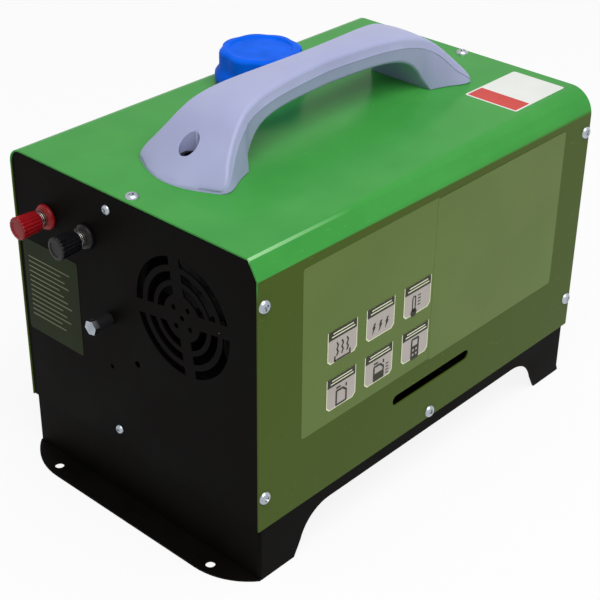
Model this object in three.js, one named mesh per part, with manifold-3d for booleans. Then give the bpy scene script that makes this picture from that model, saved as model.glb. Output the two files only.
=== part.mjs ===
// Portable diesel air heater in a sheet-metal case, in millimetres, +Z up.
// The ground is z = 0 and the origin is the middle of the footprint. The intake grille and the
// battery posts are on the rear end (-X), the warm-air outlet is on the front end (+X), the heater
// itself is on the -Y side and the fuel tank on the +Y side.

import * as THREE from 'three';
import { mergeVertices } from 'three/addons/utils/BufferGeometryUtils.js';
import Module from 'manifold-3d';

const wasm = await Module();
wasm.setup();

// ---------------------------------------------------------------- driving dimensions

// case
const CASE_LENGTH = 368;
const CASE_WIDTH = 240;
const CASE_HEIGHT = 253;
const SEAM_HEIGHT = 45.5; // lower edge of the hood above the ground
const HOOD_SHEET = 1.2;
const PANEL_SHEET = 1.2;
const BASE_SHEET = 1.5;
const FIT_GAP = 0.3; // between pieces that nest in each other
const SEAT_GAP = 0.05; // between a head or foot and the face it sits on

// hood bends: the near top edge is a flat bevel at the rear that grows round towards the front
const BEVEL_ACROSS = 7.7;
const BEVEL_DOWN = 13.3;
const NEAR_BEND_RADIUS = 20;
const FAR_BEND_RADIUS = 11.2;
const NEAR_BEND_STEPS = 6;
const FAR_BEND_STEPS = 5;

// end panels
const PANEL_RECESS = 0.8; // behind the hood's end edge
const RIM_DEPTH = 14;
const UPSTAND = 10.5; // of the base tray's walls above the hood's lower edge, inside the hood

// side slots of the hood
const SLOT_LENGTH = 90;
const SLOT_WIDTH = 8.5;
const SLOT_RISE = 36; // of its axis above the hood's lower edge
const SIGHT_SLOT = { x: -60, width: 8, rise: 39.5, drop: 58 };

// base tray
const ARCH_HEIGHT = 33.6;
const LEG_LENGTH = 37;
const LEG_SHOULDER = 12; // height at which a leg's inner edge starts to curve
const LEG_LEAN = 6.5;
const ARCH_CURVE = 32; // length of the curve from the shoulder to the level underside
const FLOOR_DROP = 4.5; // of the floor's upper face below the hood's lower edge
const FLANGE_REACH = 18.5; // beyond the hood's end edge
const FLANGE_CORNER_WIDTH = 43.5; // of each rounded end of the flange's edge
const FLANGE_HOLE = { radius: 3.6, fromSide: 38, inset: 9 };

// fasteners
const SCREW = { headRadius: 4.9, headHeight: 3, shankRadius: 2.3, length: 8, recess: 2.2 };
const SCREW_CLEARANCE = 0.4;
const CORNER_SCREW_INSET = 5.5; // from the hood's end edge
const UPPER_SCREW_DROP = 32.5; // below the hood's top
const LOWER_SCREW_RISE = 26.5; // above the hood's lower edge
const MIDDLE_SCREW_RISE = 5.3;
const TOP_SCREW_INSET = 7;
const PANEL_SCREW = { drop: 14, rise: 15.5, headRadius: 3.7, headHeight: 2.4, recess: 1.8 };

// intake grille, turned a little from upright
const GRILLE = { drop: 68.5, turn: THREE.MathUtils.degToRad(9) };
const GRILLE_RING_RADII = [20, 30, 40.6];
const GRILLE_SLOT_WIDTH = 6.2;
const GRILLE_SPOKE = 10;
const HUB_HOLE = { radius: 2, circle: 9.6 };
const SPARE_HOLES = [
  { fromNear: 116.3, drop: 125.5, radius: 2.6 },
  { fromNear: 143.6, drop: 139.5, radius: 1.8 },
];

// handle
const HANDLE = {
  halfLength: 148,
  bulge: 13, // of each end beyond the foot's side edges
  lip: 3, // thickness of the foot's edge
  footHalfWidth: 40.5,
  grip: 48, // top of the grip above the hood
  gripHalfWidth: 12.2,
  finger: 29, // underside of the grip above the hood
  opening: 98, // half length of the finger opening
  boltInset: 23, // of each bolt from the handle's end
  flare: 5.5,
  crown: 2,
};
const HANDLE_SECTIONS = 14; // on each side of the middle
const HANDLE_CROWDING = 1.3;
const HANDLE_SAMPLES = 60;
const HANDLE_TOLERANCE = 1e-6;
const HANDLE_BOLT = { headRadius: 6.5, headHeight: 8, shankRadius: 4, seat: 5, tail: 9, hex: 3.4 };
const HANDLE_BORE_RADIUS = 7.2;

// fuel filler
const FILLER = { x: 21.6, fromFar: 45 };
const NECK = { radius: 25, bore: 20, rise: 20 }; // rise above the hood
const CAP = { topRadius: 31.4, skirtRadius: 35.3, top: 27.5, bottom: 3.6, clearance: 1.2 };
const CAP_DISH = { radius: 23.7, depth: 1.2 };
const CAP_LOBES = { count: 8, depth: 0.7 };
const GASKET = { thickness: 2.4 };
const GROMMET = { lip: 3.2, lipThickness: 1.6, wall: 4 };

// fuel tank
const TANK = { fromRear: 24, fromFront: 54, nearGap: 2.7, fromFar: 9, headroom: 16.75, wall: 3, corner: 14 };
const TANK_SPIGOT = { fromFar: 75, height: 15, radius: 3.5, length: 9 };

// battery posts
const POST = { drop: 42.6, fromPartition: 32.6, pitch: 41.4 }; // the black post is the nearer one
const POST_BASE = { radius: 9.5, height: 4, bush: 4.6, tail: 7 };
const POST_STUD = { radius: 3, reach: 22, tail: 13, seatRadius: 6, seatHeight: 2.6, nut: 5.5, nutHeight: 4 };
const POST_WASHER = { radius: 6.6, thickness: 1.2 };
const POST_KNOB = { inner: 7.4, outer: 8.5, end: 26, ribs: 18, ribDepth: 0.7 };

// stand-off with a hexagon bolt on the rear panel
const STANDOFF = { fromPartition: 12.7, drop: 99.8, radius: 4.8, length: 13 };
const STANDOFF_BOLT = { acrossFlats: 10, headHeight: 4.4, shankRadius: 3, tail: 9 };

// partition between the heater and the tank
const PARTITION = { y: 10.6, gap: 3, drop: 6, flange: 17, screw: 8.9 };

// heater core
const CORE = { fromNear: 11.6, halfHeight: 60, corner: 28, wall: 2.5, fromRear: 10, fromFront: 56 };
const INTAKE_MOUTH_RADIUS = 48;
const NOZZLE = { radius: 35, wall: 2.5, fromFront: 6 };
const CORE_FOOT = { setback: 20, length: 86, halfWidth: 28, height: 9 };
const EXCHANGER = { setback: 10, length: 138, root: 38, tip: 48, bore: 31, fins: 12, finWidth: 5 };
const BURNER = { radius: 22, wall: 2.5, length: 92, collar: 4 };
const MOTOR = { length: 50, gap: 30, radius: 22 };
const BLOWER_CUP = { radius: 42, wall: 3 };
const SHAFT_RADIUS = 4;
const IMPELLER = { radius: 34, thickness: 9, blades: 8, gap: 8, disc: 2, bladeThickness: 1.6 };
const FAN = { setback: 12, radius: 45, hub: 14, width: 22, blades: 7, bladeThickness: 2.2, pitch: 35 };
const CONTROL_UNIT = { fromExchanger: 34, length: 58, width: 50, height: 16, drop: 6, plug: 24 };
const BRACKET = { setback: 10, length: 106, sheet: 2, near: 17.6, far: 40.4, foot: 14 };

// pipes and fuel system
const EXHAUST = { setback: 50, radius: 12, wall: 1.2, below: 12 };
const INTAKE_PIPE = { setback: 84, radius: 11, wall: 2, below: 12 };
const PIPE_CLEARANCE = 1;
const PUMP = { fromNear: 34, height: 21, setback: 6, length: 100, radius: 13.5, nipple: 3, nippleLength: 10 };
const HOSE_RADIUS = 3.2;
const FUEL_PORT = { setback: 94, aside: 31.6, radius: 2.6 };
const SUCTION_CROSSING = { fromFront: 21, rise: 17 }; // where the suction line passes the partition
const POWER_SUPPLY = { fromRear: 19, length: 140, fromNear: 9, fromPartition: 24.6, height: 38 };

// front panel fittings
const OUTLET = { radius: 38, wall: 1.6, reach: 26, flange: 9, flangeThickness: 2, overlap: 8 };
const CONTROL = {
  fromPartition: 22.4,
  fromFar: 9,
  drop: 63,
  height: 52,
  face: 4,
  depth: 16,
  corner: 6,
  border: 5,
};
const DISPLAY = { margin: 9, height: 24, rise: 8, depth: 1 };
const BUTTON = { radius: 5, rise: 1.6, travel: 1, spacing: 18, drop: 15, well: 3.5 };
const MAINS = {
  fromPartition: 51.4,
  rise: 50.5,
  width: 62,
  height: 48,
  face: 3,
  depth: 20,
  corner: 3,
  border: 4,
};
const ROCKER = { width: 20, height: 26, offset: -17, rise: 3.2, hollow: 1, root: 4, tilt: 6, room: 9 };
const SOCKET = { width: 25, height: 18, offset: 12, depth: 14, pinPitch: 7, pinRise: 3, pinWidth: 2 };
const FRONT_VENT = { rows: 5, pitch: 9, length: 60, width: 4.5, fromNear: 70, rise: 16.5 };

// ---------------------------------------------------------------- places worked out from them

const END = CASE_LENGTH / 2;
const SIDE = CASE_WIDTH / 2;
const nearY = (inset) => -SIDE + inset;
const farY = (inset) => SIDE - inset;
const topZ = (drop) => CASE_HEIGHT - drop;
const seamZ = (rise) => SEAM_HEIGHT + rise;
const PANEL_FACE = END - PANEL_RECESS;
const PANEL_BACK = PANEL_FACE - PANEL_SHEET;
const BASE_END = PANEL_BACK - FIT_GAP;
const BASE_SIDE = SIDE - HOOD_SHEET - FIT_GAP;
const UPSTAND_TOP = seamZ(UPSTAND);
const RIM_BOTTOM = UPSTAND_TOP + FIT_GAP;
const FLOOR_TOP = seamZ(-FLOOR_DROP);
const FLOOR_SEAT = FLOOR_TOP + SEAT_GAP;
const HOOD_TOP_INSIDE = topZ(HOOD_SHEET);
const NECK_TOP = topZ(-NECK.rise);
const FILLER_Y = farY(FILLER.fromFar);
const PARTITION_Y = PARTITION.y;
const CORE_FAR = PARTITION_Y - PARTITION.gap;
const CORE_HALF_WIDTH = (CORE_FAR - nearY(CORE.fromNear)) / 2;
const CORE_Y = CORE_FAR - CORE_HALF_WIDTH;
const CORE_Z = topZ(GRILLE.drop);
const CORE_REAR = CORE.fromRear - END;
const CORE_FRONT = END - CORE.fromFront;
const NOZZLE_END = END - NOZZLE.fromFront;
const EXCHANGER_FRONT = CORE_FRONT - EXCHANGER.setback;
const EXCHANGER_REAR = EXCHANGER_FRONT - EXCHANGER.length;
const BURNER_REAR = EXCHANGER_REAR - SEAT_GAP - BURNER.collar;
const MOTOR_FRONT = EXCHANGER_REAR - MOTOR.gap;
const MOTOR_REAR = MOTOR_FRONT - MOTOR.length;
const IMPELLER_REAR = MOTOR_FRONT + IMPELLER.gap;
const FAN_REAR = CORE_REAR + FAN.setback;
const FOOT_BOTTOM = CORE_Z - CORE.halfHeight - CORE_FOOT.height;
const FOOT_FRONT = CORE_FRONT - CORE_FOOT.setback;
const FOOT_REAR = FOOT_FRONT - CORE_FOOT.length;
const BRACKET_TOP = FOOT_BOTTOM - SEAT_GAP;
const FUEL_PORT_X = CORE_FRONT - FUEL_PORT.setback;
const FUEL_PORT_Y = CORE_Y - FUEL_PORT.aside;
const PARTITION_TOP = topZ(PARTITION.drop);
const STANDOFF_Y = PARTITION_Y + STANDOFF.fromPartition;
const STANDOFF_Z = topZ(STANDOFF.drop);
const TANK_REAR = TANK.fromRear - END;
const TANK_FRONT = END - TANK.fromFront;
const TANK_NEAR = PARTITION_Y + PANEL_SHEET + TANK.nearGap;
const TANK_FAR = farY(TANK.fromFar);
const TANK_TOP = HOOD_TOP_INSIDE - TANK.headroom;
const HANDLE_BOLT_X = HANDLE.halfLength - HANDLE.boltInset;
const SPIGOT_Y = farY(TANK_SPIGOT.fromFar);
const SPIGOT_Z = FLOOR_SEAT + TANK_SPIGOT.height;
const PUMP_Y = nearY(PUMP.fromNear);
const PUMP_Z = FLOOR_TOP + PUMP.height;
const PUMP_FRONT = CORE_FRONT - PUMP.setback;
const PUMP_REAR = PUMP_FRONT - PUMP.length;
const CROSSING_X = END - SUCTION_CROSSING.fromFront;
const CROSSING_Z = FLOOR_TOP + SUCTION_CROSSING.rise;
const BLACK_POST_Y = PARTITION_Y + POST.fromPartition;
const RED_POST_Y = BLACK_POST_Y + POST.pitch;
const KNOB_START = POST_BASE.height + POST_STUD.seatHeight + POST_WASHER.thickness + 3 * FIT_GAP;
const PANEL_SCREW_Y = PARTITION_Y + PARTITION.screw;
const PANEL_SCREW_Z = { upper: topZ(PANEL_SCREW.drop), lower: seamZ(PANEL_SCREW.rise) };
const CONTROL_SPAN = [PARTITION_Y + CONTROL.fromPartition, farY(CONTROL.fromFar)];
const CONTROL_BODY = { ...CONTROL, width: CONTROL_SPAN[1] - CONTROL_SPAN[0] };
const CONTROL_PLACE = { y: (CONTROL_SPAN[0] + CONTROL_SPAN[1]) / 2, z: topZ(CONTROL.drop) };
const MAINS_PLACE = { y: PARTITION_Y + MAINS.fromPartition, z: seamZ(MAINS.rise) };

// ---------------------------------------------------------------- finishes

const finish = (color, roughness, metalness = 0) =>
  new THREE.MeshStandardMaterial({ color, roughness, metalness });

const GREEN_POWDER_COAT = finish(0x439f45, 0.3);
const BLACK_POWDER_COAT = finish(0x17171a, 0.55);
const ZINC_STEEL = finish(0xc9ccd0, 0.35, 1);
const GREY_PLASTIC = finish(0xb3b9d6, 0.5);
const BLUE_PLASTIC = finish(0x0a5fe6, 0.4);
const BLACK_PLASTIC = finish(0x1c1c1f, 0.5);
const RED_PLASTIC = finish(0xa8141c, 0.35);
const NATURAL_PLASTIC = finish(0xd9dcd2, 0.6);
const BUTTON_PLASTIC = finish(0xc3c5c8, 0.5);
const RUBBER = finish(0x161616, 0.85);
const CAST_ALUMINIUM = finish(0x9da1a6, 0.5, 1);
const STAINLESS = finish(0xb5b5b0, 0.35, 1);

// ---------------------------------------------------------------- solids

function triangles(geometry) {
  const bare = geometry.clone();
  bare.deleteAttribute('normal');
  bare.deleteAttribute('uv');
  const merged = mergeVertices(bare, 1e-4);
  const index = merged.index.array;
  const kept = [];
  for (let i = 0; i < index.length; i += 3) {
    const [a, b, c] = [index[i], index[i + 1], index[i + 2]];
    if (a !== b && b !== c && c !== a) kept.push(a, b, c);
  }
  return { points: merged.getAttribute('position').array, kept };
}

function signedVolume(points, kept) {
  const corner = (i) => new THREE.Vector3().fromArray(points, 3 * i);
  let volume = 0;
  for (let i = 0; i < kept.length; i += 3) {
    const cross = corner(kept[i + 1]).cross(corner(kept[i + 2]));
    volume += corner(kept[i]).dot(cross) / 6;
  }
  return volume;
}

function solid(geometry) {
  const { points, kept } = triangles(geometry);
  if (signedVolume(points, kept) < 0) kept.reverse();
  return new wasm.Manifold(new wasm.Mesh({
    numProp: 3,
    vertProperties: new Float32Array(points),
    triVerts: new Uint32Array(kept),
  }));
}

function geometryOf(body) {
  const mesh = body.getMesh();
  const indexed = new THREE.BufferGeometry();
  indexed.setAttribute('position', new THREE.BufferAttribute(new Float32Array(mesh.vertProperties), 3));
  indexed.setIndex(Array.from(mesh.triVerts));
  const faceted = indexed.toNonIndexed();
  faceted.computeVertexNormals();
  return faceted;
}

const join = (...parts) => geometryOf(parts.map(solid).reduce((sum, part) => sum.add(part)));

const cut = (part, ...tools) =>
  geometryOf(tools.map(solid).reduce((rest, tool) => rest.subtract(tool), solid(part)));

const common = (a, b) => geometryOf(solid(a).intersect(solid(b)));

function block(low, high) {
  const size = high.map((value, axis) => value - low[axis]);
  const middle = high.map((value, axis) => (value + low[axis]) / 2);
  return new THREE.BoxGeometry(...size).translate(...middle);
}

// a shape drawn in (Y, Z) and extruded along X
function extrudeX(shape, from, to, curveSegments = 8) {
  const geometry = new THREE.ExtrudeGeometry(shape, { depth: to - from, bevelEnabled: false, curveSegments });
  const turn = new THREE.Matrix4().makeBasis(
    new THREE.Vector3(0, 1, 0),
    new THREE.Vector3(0, 0, 1),
    new THREE.Vector3(1, 0, 0),
  );
  return geometry.applyMatrix4(turn).translate(from, 0, 0);
}

// a shape drawn in (X, Z) and extruded along Y
function extrudeY(shape, from, to, curveSegments = 8) {
  const geometry = new THREE.ExtrudeGeometry(shape, { depth: to - from, bevelEnabled: false, curveSegments });
  return geometry.rotateX(Math.PI / 2).translate(0, to, 0);
}

// a shape drawn in (X, Y) and extruded along Z
function extrudeZ(shape, from, to, curveSegments = 8) {
  const geometry = new THREE.ExtrudeGeometry(shape, { depth: to - from, bevelEnabled: false, curveSegments });
  return geometry.translate(0, 0, from);
}

// [radius, place along the axis] pairs turned about X or Z
function turnedX(profile, segments, y = 0, z = 0) {
  const points = profile.map(([radius, along]) => new THREE.Vector2(radius, along));
  return new THREE.LatheGeometry(points, segments).rotateZ(-Math.PI / 2).translate(0, y, z);
}

function turnedZ(profile, segments, x = 0, y = 0) {
  const points = profile.map(([radius, along]) => new THREE.Vector2(radius, along));
  return new THREE.LatheGeometry(points, segments).rotateX(Math.PI / 2).translate(x, y, 0);
}

const rodProfile = (radius, from, to) => [[0, from], [radius, from], [radius, to], [0, to]];

const pipeProfile = (radius, bore, from, to) =>
  [[bore, from], [radius, from], [radius, to], [bore, to], [bore, from]];

const rodX = (radius, from, to, y, z, segments = 20) => turnedX(rodProfile(radius, from, to), segments, y, z);
const rodZ = (radius, from, to, x, y, segments = 20) => turnedZ(rodProfile(radius, from, to), segments, x, y);
const pipeZ = (radius, bore, from, to, x, y, segments = 20) =>
  turnedZ(pipeProfile(radius, bore, from, to), segments, x, y);

function rodY(radius, from, to, x, z, segments = 16) {
  const length = to - from;
  return new THREE.CylinderGeometry(radius, radius, length, segments).translate(x, from + length / 2, z);
}

function roundedRectangle(width, height, corner, x = 0, y = 0) {
  const [left, bottom, right, top] = [x - width / 2, y - height / 2, x + width / 2, y + height / 2];
  const shape = new THREE.Shape();
  shape.moveTo(left + corner, bottom);
  shape.lineTo(right - corner, bottom);
  shape.absarc(right - corner, bottom + corner, corner, -Math.PI / 2, 0);
  shape.lineTo(right, top - corner);
  shape.absarc(right - corner, top - corner, corner, 0, Math.PI / 2);
  shape.lineTo(left + corner, top);
  shape.absarc(left + corner, top - corner, corner, Math.PI / 2, Math.PI);
  shape.lineTo(left, bottom + corner);
  shape.absarc(left + corner, bottom + corner, corner, Math.PI, 1.5 * Math.PI);
  return shape;
}

const slotShape = (width, height, x, y) =>
  roundedRectangle(width, height, Math.min(width, height) / 2 - 0.01, x, y);

// a closed skin over rings that all hold the same number of points
function loft(rings) {
  const count = rings[0].length;
  const positions = rings.flat().flatMap((point) => point.toArray());
  const index = [];
  for (let ring = 0; ring + 1 < rings.length; ring += 1) {
    for (let i = 0; i < count; i += 1) {
      const a = ring * count + i;
      const b = ring * count + ((i + 1) % count);
      index.push(a, b, a + count, b, b + count, a + count);
    }
  }
  return { positions, index, count };
}

function finishLoft({ positions, index }) {
  const geometry = new THREE.BufferGeometry();
  geometry.setAttribute('position', new THREE.Float32BufferAttribute(positions, 3));
  geometry.setIndex(index);
  return geometry;
}

// ---------------------------------------------------------------- the hood's cross-section

// how far the near bend has turned from the flat bevel (0) to the full radius (1) at a place
const bendBlend = (x) => (x + END) / CASE_LENGTH;

function bevelPoint(share, inset) {
  const run = new THREE.Vector2(BEVEL_ACROSS, BEVEL_DOWN);
  const normal = new THREE.Vector2(-BEVEL_DOWN, BEVEL_ACROSS).normalize();
  const miter = (other) => normal.clone().add(other).divideScalar(1 + normal.dot(other));
  const low = miter(new THREE.Vector2(-1, 0));
  const high = miter(new THREE.Vector2(0, 1));
  const start = new THREE.Vector2(-SIDE, CASE_HEIGHT - BEVEL_DOWN);
  return start.addScaledVector(run, share).addScaledVector(low.lerp(high, share), -inset);
}

function roundPoint(share, inset) {
  const angle = share * Math.PI / 2;
  const radius = NEAR_BEND_RADIUS - inset;
  const centre = new THREE.Vector2(-SIDE + NEAR_BEND_RADIUS, CASE_HEIGHT - NEAR_BEND_RADIUS);
  return centre.add(new THREE.Vector2(-Math.cos(angle) * radius, Math.sin(angle) * radius));
}

function farPoint(share, inset) {
  const angle = share * Math.PI / 2;
  const radius = FAR_BEND_RADIUS - inset;
  const centre = new THREE.Vector2(SIDE - FAR_BEND_RADIUS, CASE_HEIGHT - FAR_BEND_RADIUS);
  return centre.add(new THREE.Vector2(Math.sin(angle) * radius, Math.cos(angle) * radius));
}

// (Y, Z) points up the near side, over the top and down the far side
function coverLine(blend, inset, bottom) {
  const line = [new THREE.Vector2(-SIDE + inset, bottom)];
  for (let i = 0; i <= NEAR_BEND_STEPS; i += 1) {
    const share = i / NEAR_BEND_STEPS;
    line.push(bevelPoint(share, inset).lerp(roundPoint(share, inset), blend));
  }
  for (let i = 0; i <= FAR_BEND_STEPS; i += 1) {
    line.push(farPoint(i / FAR_BEND_STEPS, inset));
  }
  line.push(new THREE.Vector2(SIDE - inset, bottom));
  return line;
}

function hoodRing(x) {
  const outer = coverLine(bendBlend(x), 0, SEAM_HEIGHT);
  const inner = coverLine(bendBlend(x), HOOD_SHEET, SEAM_HEIGHT);
  return { x, line: [...outer, ...inner.reverse()] };
}

function hoodSkin() {
  const ends = [hoodRing(-END), hoodRing(END)];
  const rings = ends.map(({ x, line }) => line.map((point) => new THREE.Vector3(x, point.x, point.y)));
  const skin = loft(rings);
  const last = skin.count - 1;
  for (let i = 0; i < skin.count / 2 - 1; i += 1) {
    const [a, b, c, d] = [i, i + 1, last - i - 1, last - i];
    skin.index.push(a, d, b, b, d, c);
    const [e, f, g, h] = [a, b, c, d].map((corner) => corner + skin.count);
    skin.index.push(e, f, h, f, g, h);
  }
  return finishLoft(skin);
}

// ---------------------------------------------------------------- fasteners

function panScrew({ headRadius, headHeight, recess }) {
  const { shankRadius, length } = SCREW;
  const body = turnedZ([
    [0, -length],
    [shankRadius, -length],
    [shankRadius, SEAT_GAP],
    [headRadius, SEAT_GAP],
    [headRadius * 0.94, headHeight * 0.55],
    [0, headHeight],
  ], 10);
  const arm = headRadius * 0.55;
  const slit = headRadius * 0.14;
  const floor = headHeight - recess / 2;
  return cut(
    body,
    block([-arm, -slit, floor], [arm, slit, headHeight + 1]),
    block([-slit, -arm, floor], [slit, arm, headHeight + 1]),
  );
}

function socketBolt() {
  const { headRadius, headHeight, shankRadius, seat, tail, hex } = HANDLE_BOLT;
  const body = turnedZ([
    [0, -seat - tail],
    [shankRadius, -seat - tail],
    [shankRadius, SEAT_GAP],
    [headRadius, SEAT_GAP],
    [headRadius, headHeight],
    [0, headHeight],
  ], 14);
  return cut(body, rodZ(hex, headHeight / 2, headHeight + 1, 0, 0, 6));
}

const screwHole = SCREW.shankRadius + SCREW_CLEARANCE;

const sideScrews = [
  ['rear_upper', -END + CORNER_SCREW_INSET, topZ(UPPER_SCREW_DROP)],
  ['rear_lower', -END + CORNER_SCREW_INSET, seamZ(LOWER_SCREW_RISE)],
  ['middle', 0, seamZ(MIDDLE_SCREW_RISE)],
  ['front_lower', END - CORNER_SCREW_INSET, seamZ(LOWER_SCREW_RISE)],
  ['front_upper', END - CORNER_SCREW_INSET, topZ(UPPER_SCREW_DROP)],
];

const sideScrewBores = () =>
  sideScrews.map(([, x, z]) => rodY(screwHole, -SIDE - 5, SIDE + 5, x, z, 8));

const topScrewX = END - TOP_SCREW_INSET;

const topScrewBores = () =>
  [-1, 1].map((end) => rodZ(screwHole, topZ(SCREW.length + 5), CASE_HEIGHT + 5, end * topScrewX, 0, 8));

const panelScrewBores = (end) =>
  [PANEL_SCREW_Z.upper, PANEL_SCREW_Z.lower].map((z) =>
    rodX(screwHole, Math.min(0, end * END * 2), Math.max(0, end * END * 2), PANEL_SCREW_Y, z, 8));

// ---------------------------------------------------------------- case

function hood() {
  const bolts = [-1, 1].map((end) =>
    rodZ(HANDLE_BOLT.shankRadius + FIT_GAP, CASE_HEIGHT - 10, CASE_HEIGHT + 10, end * HANDLE_BOLT_X, 0, 12));
  const airShape = slotShape(SLOT_LENGTH, SLOT_WIDTH, 0, seamZ(SLOT_RISE));
  const airSlot = extrudeY(airShape, -SIDE - 5, -SIDE + 10, 4);
  const [low, high] = [seamZ(SIGHT_SLOT.rise), topZ(SIGHT_SLOT.drop)];
  const sightShape = slotShape(SIGHT_SLOT.width, high - low, SIGHT_SLOT.x, (low + high) / 2);
  const sightSlot = extrudeY(sightShape, SIDE - 10, SIDE + 5, 4);
  const edge = NECK.radius + GROMMET.wall;
  const filler = rodZ(edge, CASE_HEIGHT - 10, CASE_HEIGHT + 10, FILLER.x, FILLER_Y, 28);
  return cut(hoodSkin(), airSlot, sightSlot, filler, ...bolts, ...sideScrewBores(), ...topScrewBores());
}

// a flat end panel with a rim turned inwards along its sides and top; end is -1 or 1
function panelPan(end) {
  const blend = end < 0 ? bendBlend(-END + RIM_DEPTH) : bendBlend(END - RIM_DEPTH);
  const outside = HOOD_SHEET + FIT_GAP;
  const plateShape = new THREE.Shape(coverLine(blend, outside, SEAM_HEIGHT + FIT_GAP));
  const rimShape = new THREE.Shape(coverLine(blend, outside, RIM_BOTTOM));
  const roomShape = new THREE.Shape(coverLine(blend, outside + PANEL_SHEET, RIM_BOTTOM - 5));
  const span = (depth) => [end * PANEL_FACE, end * (PANEL_FACE - depth)].sort((a, b) => a - b);
  const rim = cut(
    extrudeX(rimShape, ...span(RIM_DEPTH)),
    extrudeX(roomShape, -END * 2, END * 2),
  );
  return join(extrudeX(plateShape, ...span(PANEL_SHEET)), rim);
}

// points along an arc in the grille's plane, its angle counted from -Y towards +Z
function panelArc(y, z, radius, from, to, steps) {
  return Array.from({ length: steps + 1 }, (unused, i) => {
    const angle = from + (to - from) * i / steps;
    return new THREE.Vector2(y - Math.cos(angle) * radius, z + Math.sin(angle) * radius);
  });
}

// one curved slot of the grille between two spokes
function grilleSlot(radius, quadrant) {
  const half = GRILLE_SLOT_WIDTH / 2;
  const trim = (GRILLE_SPOKE / 2 + half) / radius;
  const from = GRILLE.turn + quadrant * Math.PI / 2 + trim;
  const to = GRILLE.turn + (quadrant + 1) * Math.PI / 2 - trim;
  const [y, z] = [CORE_Y, CORE_Z];
  const [start] = panelArc(y, z, radius, from, from, 1);
  const [stop] = panelArc(y, z, radius, to, to, 1);
  const shape = new THREE.Shape([
    ...panelArc(y, z, radius + half, from, to, 5),
    ...panelArc(stop.x, stop.y, half, to, to + Math.PI, 3).slice(1, -1),
    ...panelArc(y, z, radius - half, to, from, 5),
    ...panelArc(start.x, start.y, half, from + Math.PI, from + 2 * Math.PI, 3).slice(1, -1),
  ]);
  return extrudeX(shape, -END * 2, 0);
}

function grilleCuts() {
  const slots = GRILLE_RING_RADII.flatMap((radius) =>
    [0, 1, 2, 3].map((quadrant) => grilleSlot(radius, quadrant)));
  const hubHoles = [0, 1, 2, 3].map((quadrant) => {
    const angle = GRILLE.turn + (quadrant + 0.5) * Math.PI / 2;
    const y = CORE_Y - Math.cos(angle) * HUB_HOLE.circle;
    const z = CORE_Z + Math.sin(angle) * HUB_HOLE.circle;
    return rodX(HUB_HOLE.radius, -END * 2, 0, y, z, 6);
  });
  const centre = rodX(HUB_HOLE.radius, -END * 2, 0, CORE_Y, CORE_Z, 6);
  return [...slots, ...hubHoles, centre];
}

function rearPanel() {
  const through = (radius, y, z, segments = 16) => rodX(radius, -END * 2, 0, y, z, segments);
  return cut(
    panelPan(-1),
    ...grilleCuts(),
    ...SPARE_HOLES.map(({ fromNear, drop, radius }) => through(radius, nearY(fromNear), topZ(drop), 10)),
    through(POST_BASE.bush + FIT_GAP, RED_POST_Y, topZ(POST.drop)),
    through(POST_BASE.bush + FIT_GAP, BLACK_POST_Y, topZ(POST.drop)),
    through(STANDOFF_BOLT.shankRadius + FIT_GAP, STANDOFF_Y, STANDOFF_Z),
    ...panelScrewBores(-1),
    ...sideScrewBores(),
    ...topScrewBores(),
  );
}

function frontVents() {
  const { rows, pitch, length, width, fromNear, rise } = FRONT_VENT;
  return Array.from({ length: rows }, (unused, row) => {
    const shape = slotShape(length, width, nearY(fromNear), seamZ(rise) + row * pitch);
    return extrudeX(shape, 0, END * 2, 2);
  });
}

// the hole behind a fitting's face plate, and the body of the fitting that goes through it
function fittingShape({ width, height, border }, { y, z }, gap) {
  return roundedRectangle(width - 2 * (border + gap), height - 2 * (border + gap), 2, y, z);
}

const windowCut = (fitting, spot) => extrudeX(fittingShape(fitting, spot, 0), 0, END * 2, 3);

function fittingBody(fitting, spot) {
  const { y, z } = spot;
  const { width, height, face, depth, corner } = fitting;
  const seat = PANEL_FACE + SEAT_GAP;
  return join(
    extrudeX(roundedRectangle(width, height, corner, y, z), seat, seat + face, 4),
    extrudeX(fittingShape(fitting, spot, FIT_GAP), seat - depth, seat + 1, 3),
  );
}

function frontPanel() {
  return cut(
    panelPan(1),
    rodX(OUTLET.radius + 2 * FIT_GAP, 0, END * 2, CORE_Y, CORE_Z, 30),
    windowCut(CONTROL_BODY, CONTROL_PLACE),
    windowCut(MAINS, MAINS_PLACE),
    ...frontVents(),
    ...panelScrewBores(1),
    ...sideScrewBores(),
    ...topScrewBores(),
  );
}

// the opening between two legs, drawn in (X, Z)
function archShape() {
  const foot = END - LEG_LENGTH;
  const shoulder = foot - LEG_LEAN;
  const level = shoulder - ARCH_CURVE;
  const shape = new THREE.Shape();
  shape.moveTo(-foot, -1);
  shape.lineTo(foot, -1);
  shape.lineTo(shoulder, LEG_SHOULDER);
  shape.quadraticCurveTo(shoulder - LEG_LEAN, ARCH_HEIGHT, level, ARCH_HEIGHT);
  shape.lineTo(-level, ARCH_HEIGHT);
  shape.quadraticCurveTo(LEG_LEAN - shoulder, ARCH_HEIGHT, -shoulder, LEG_SHOULDER);
  return shape;
}

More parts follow.
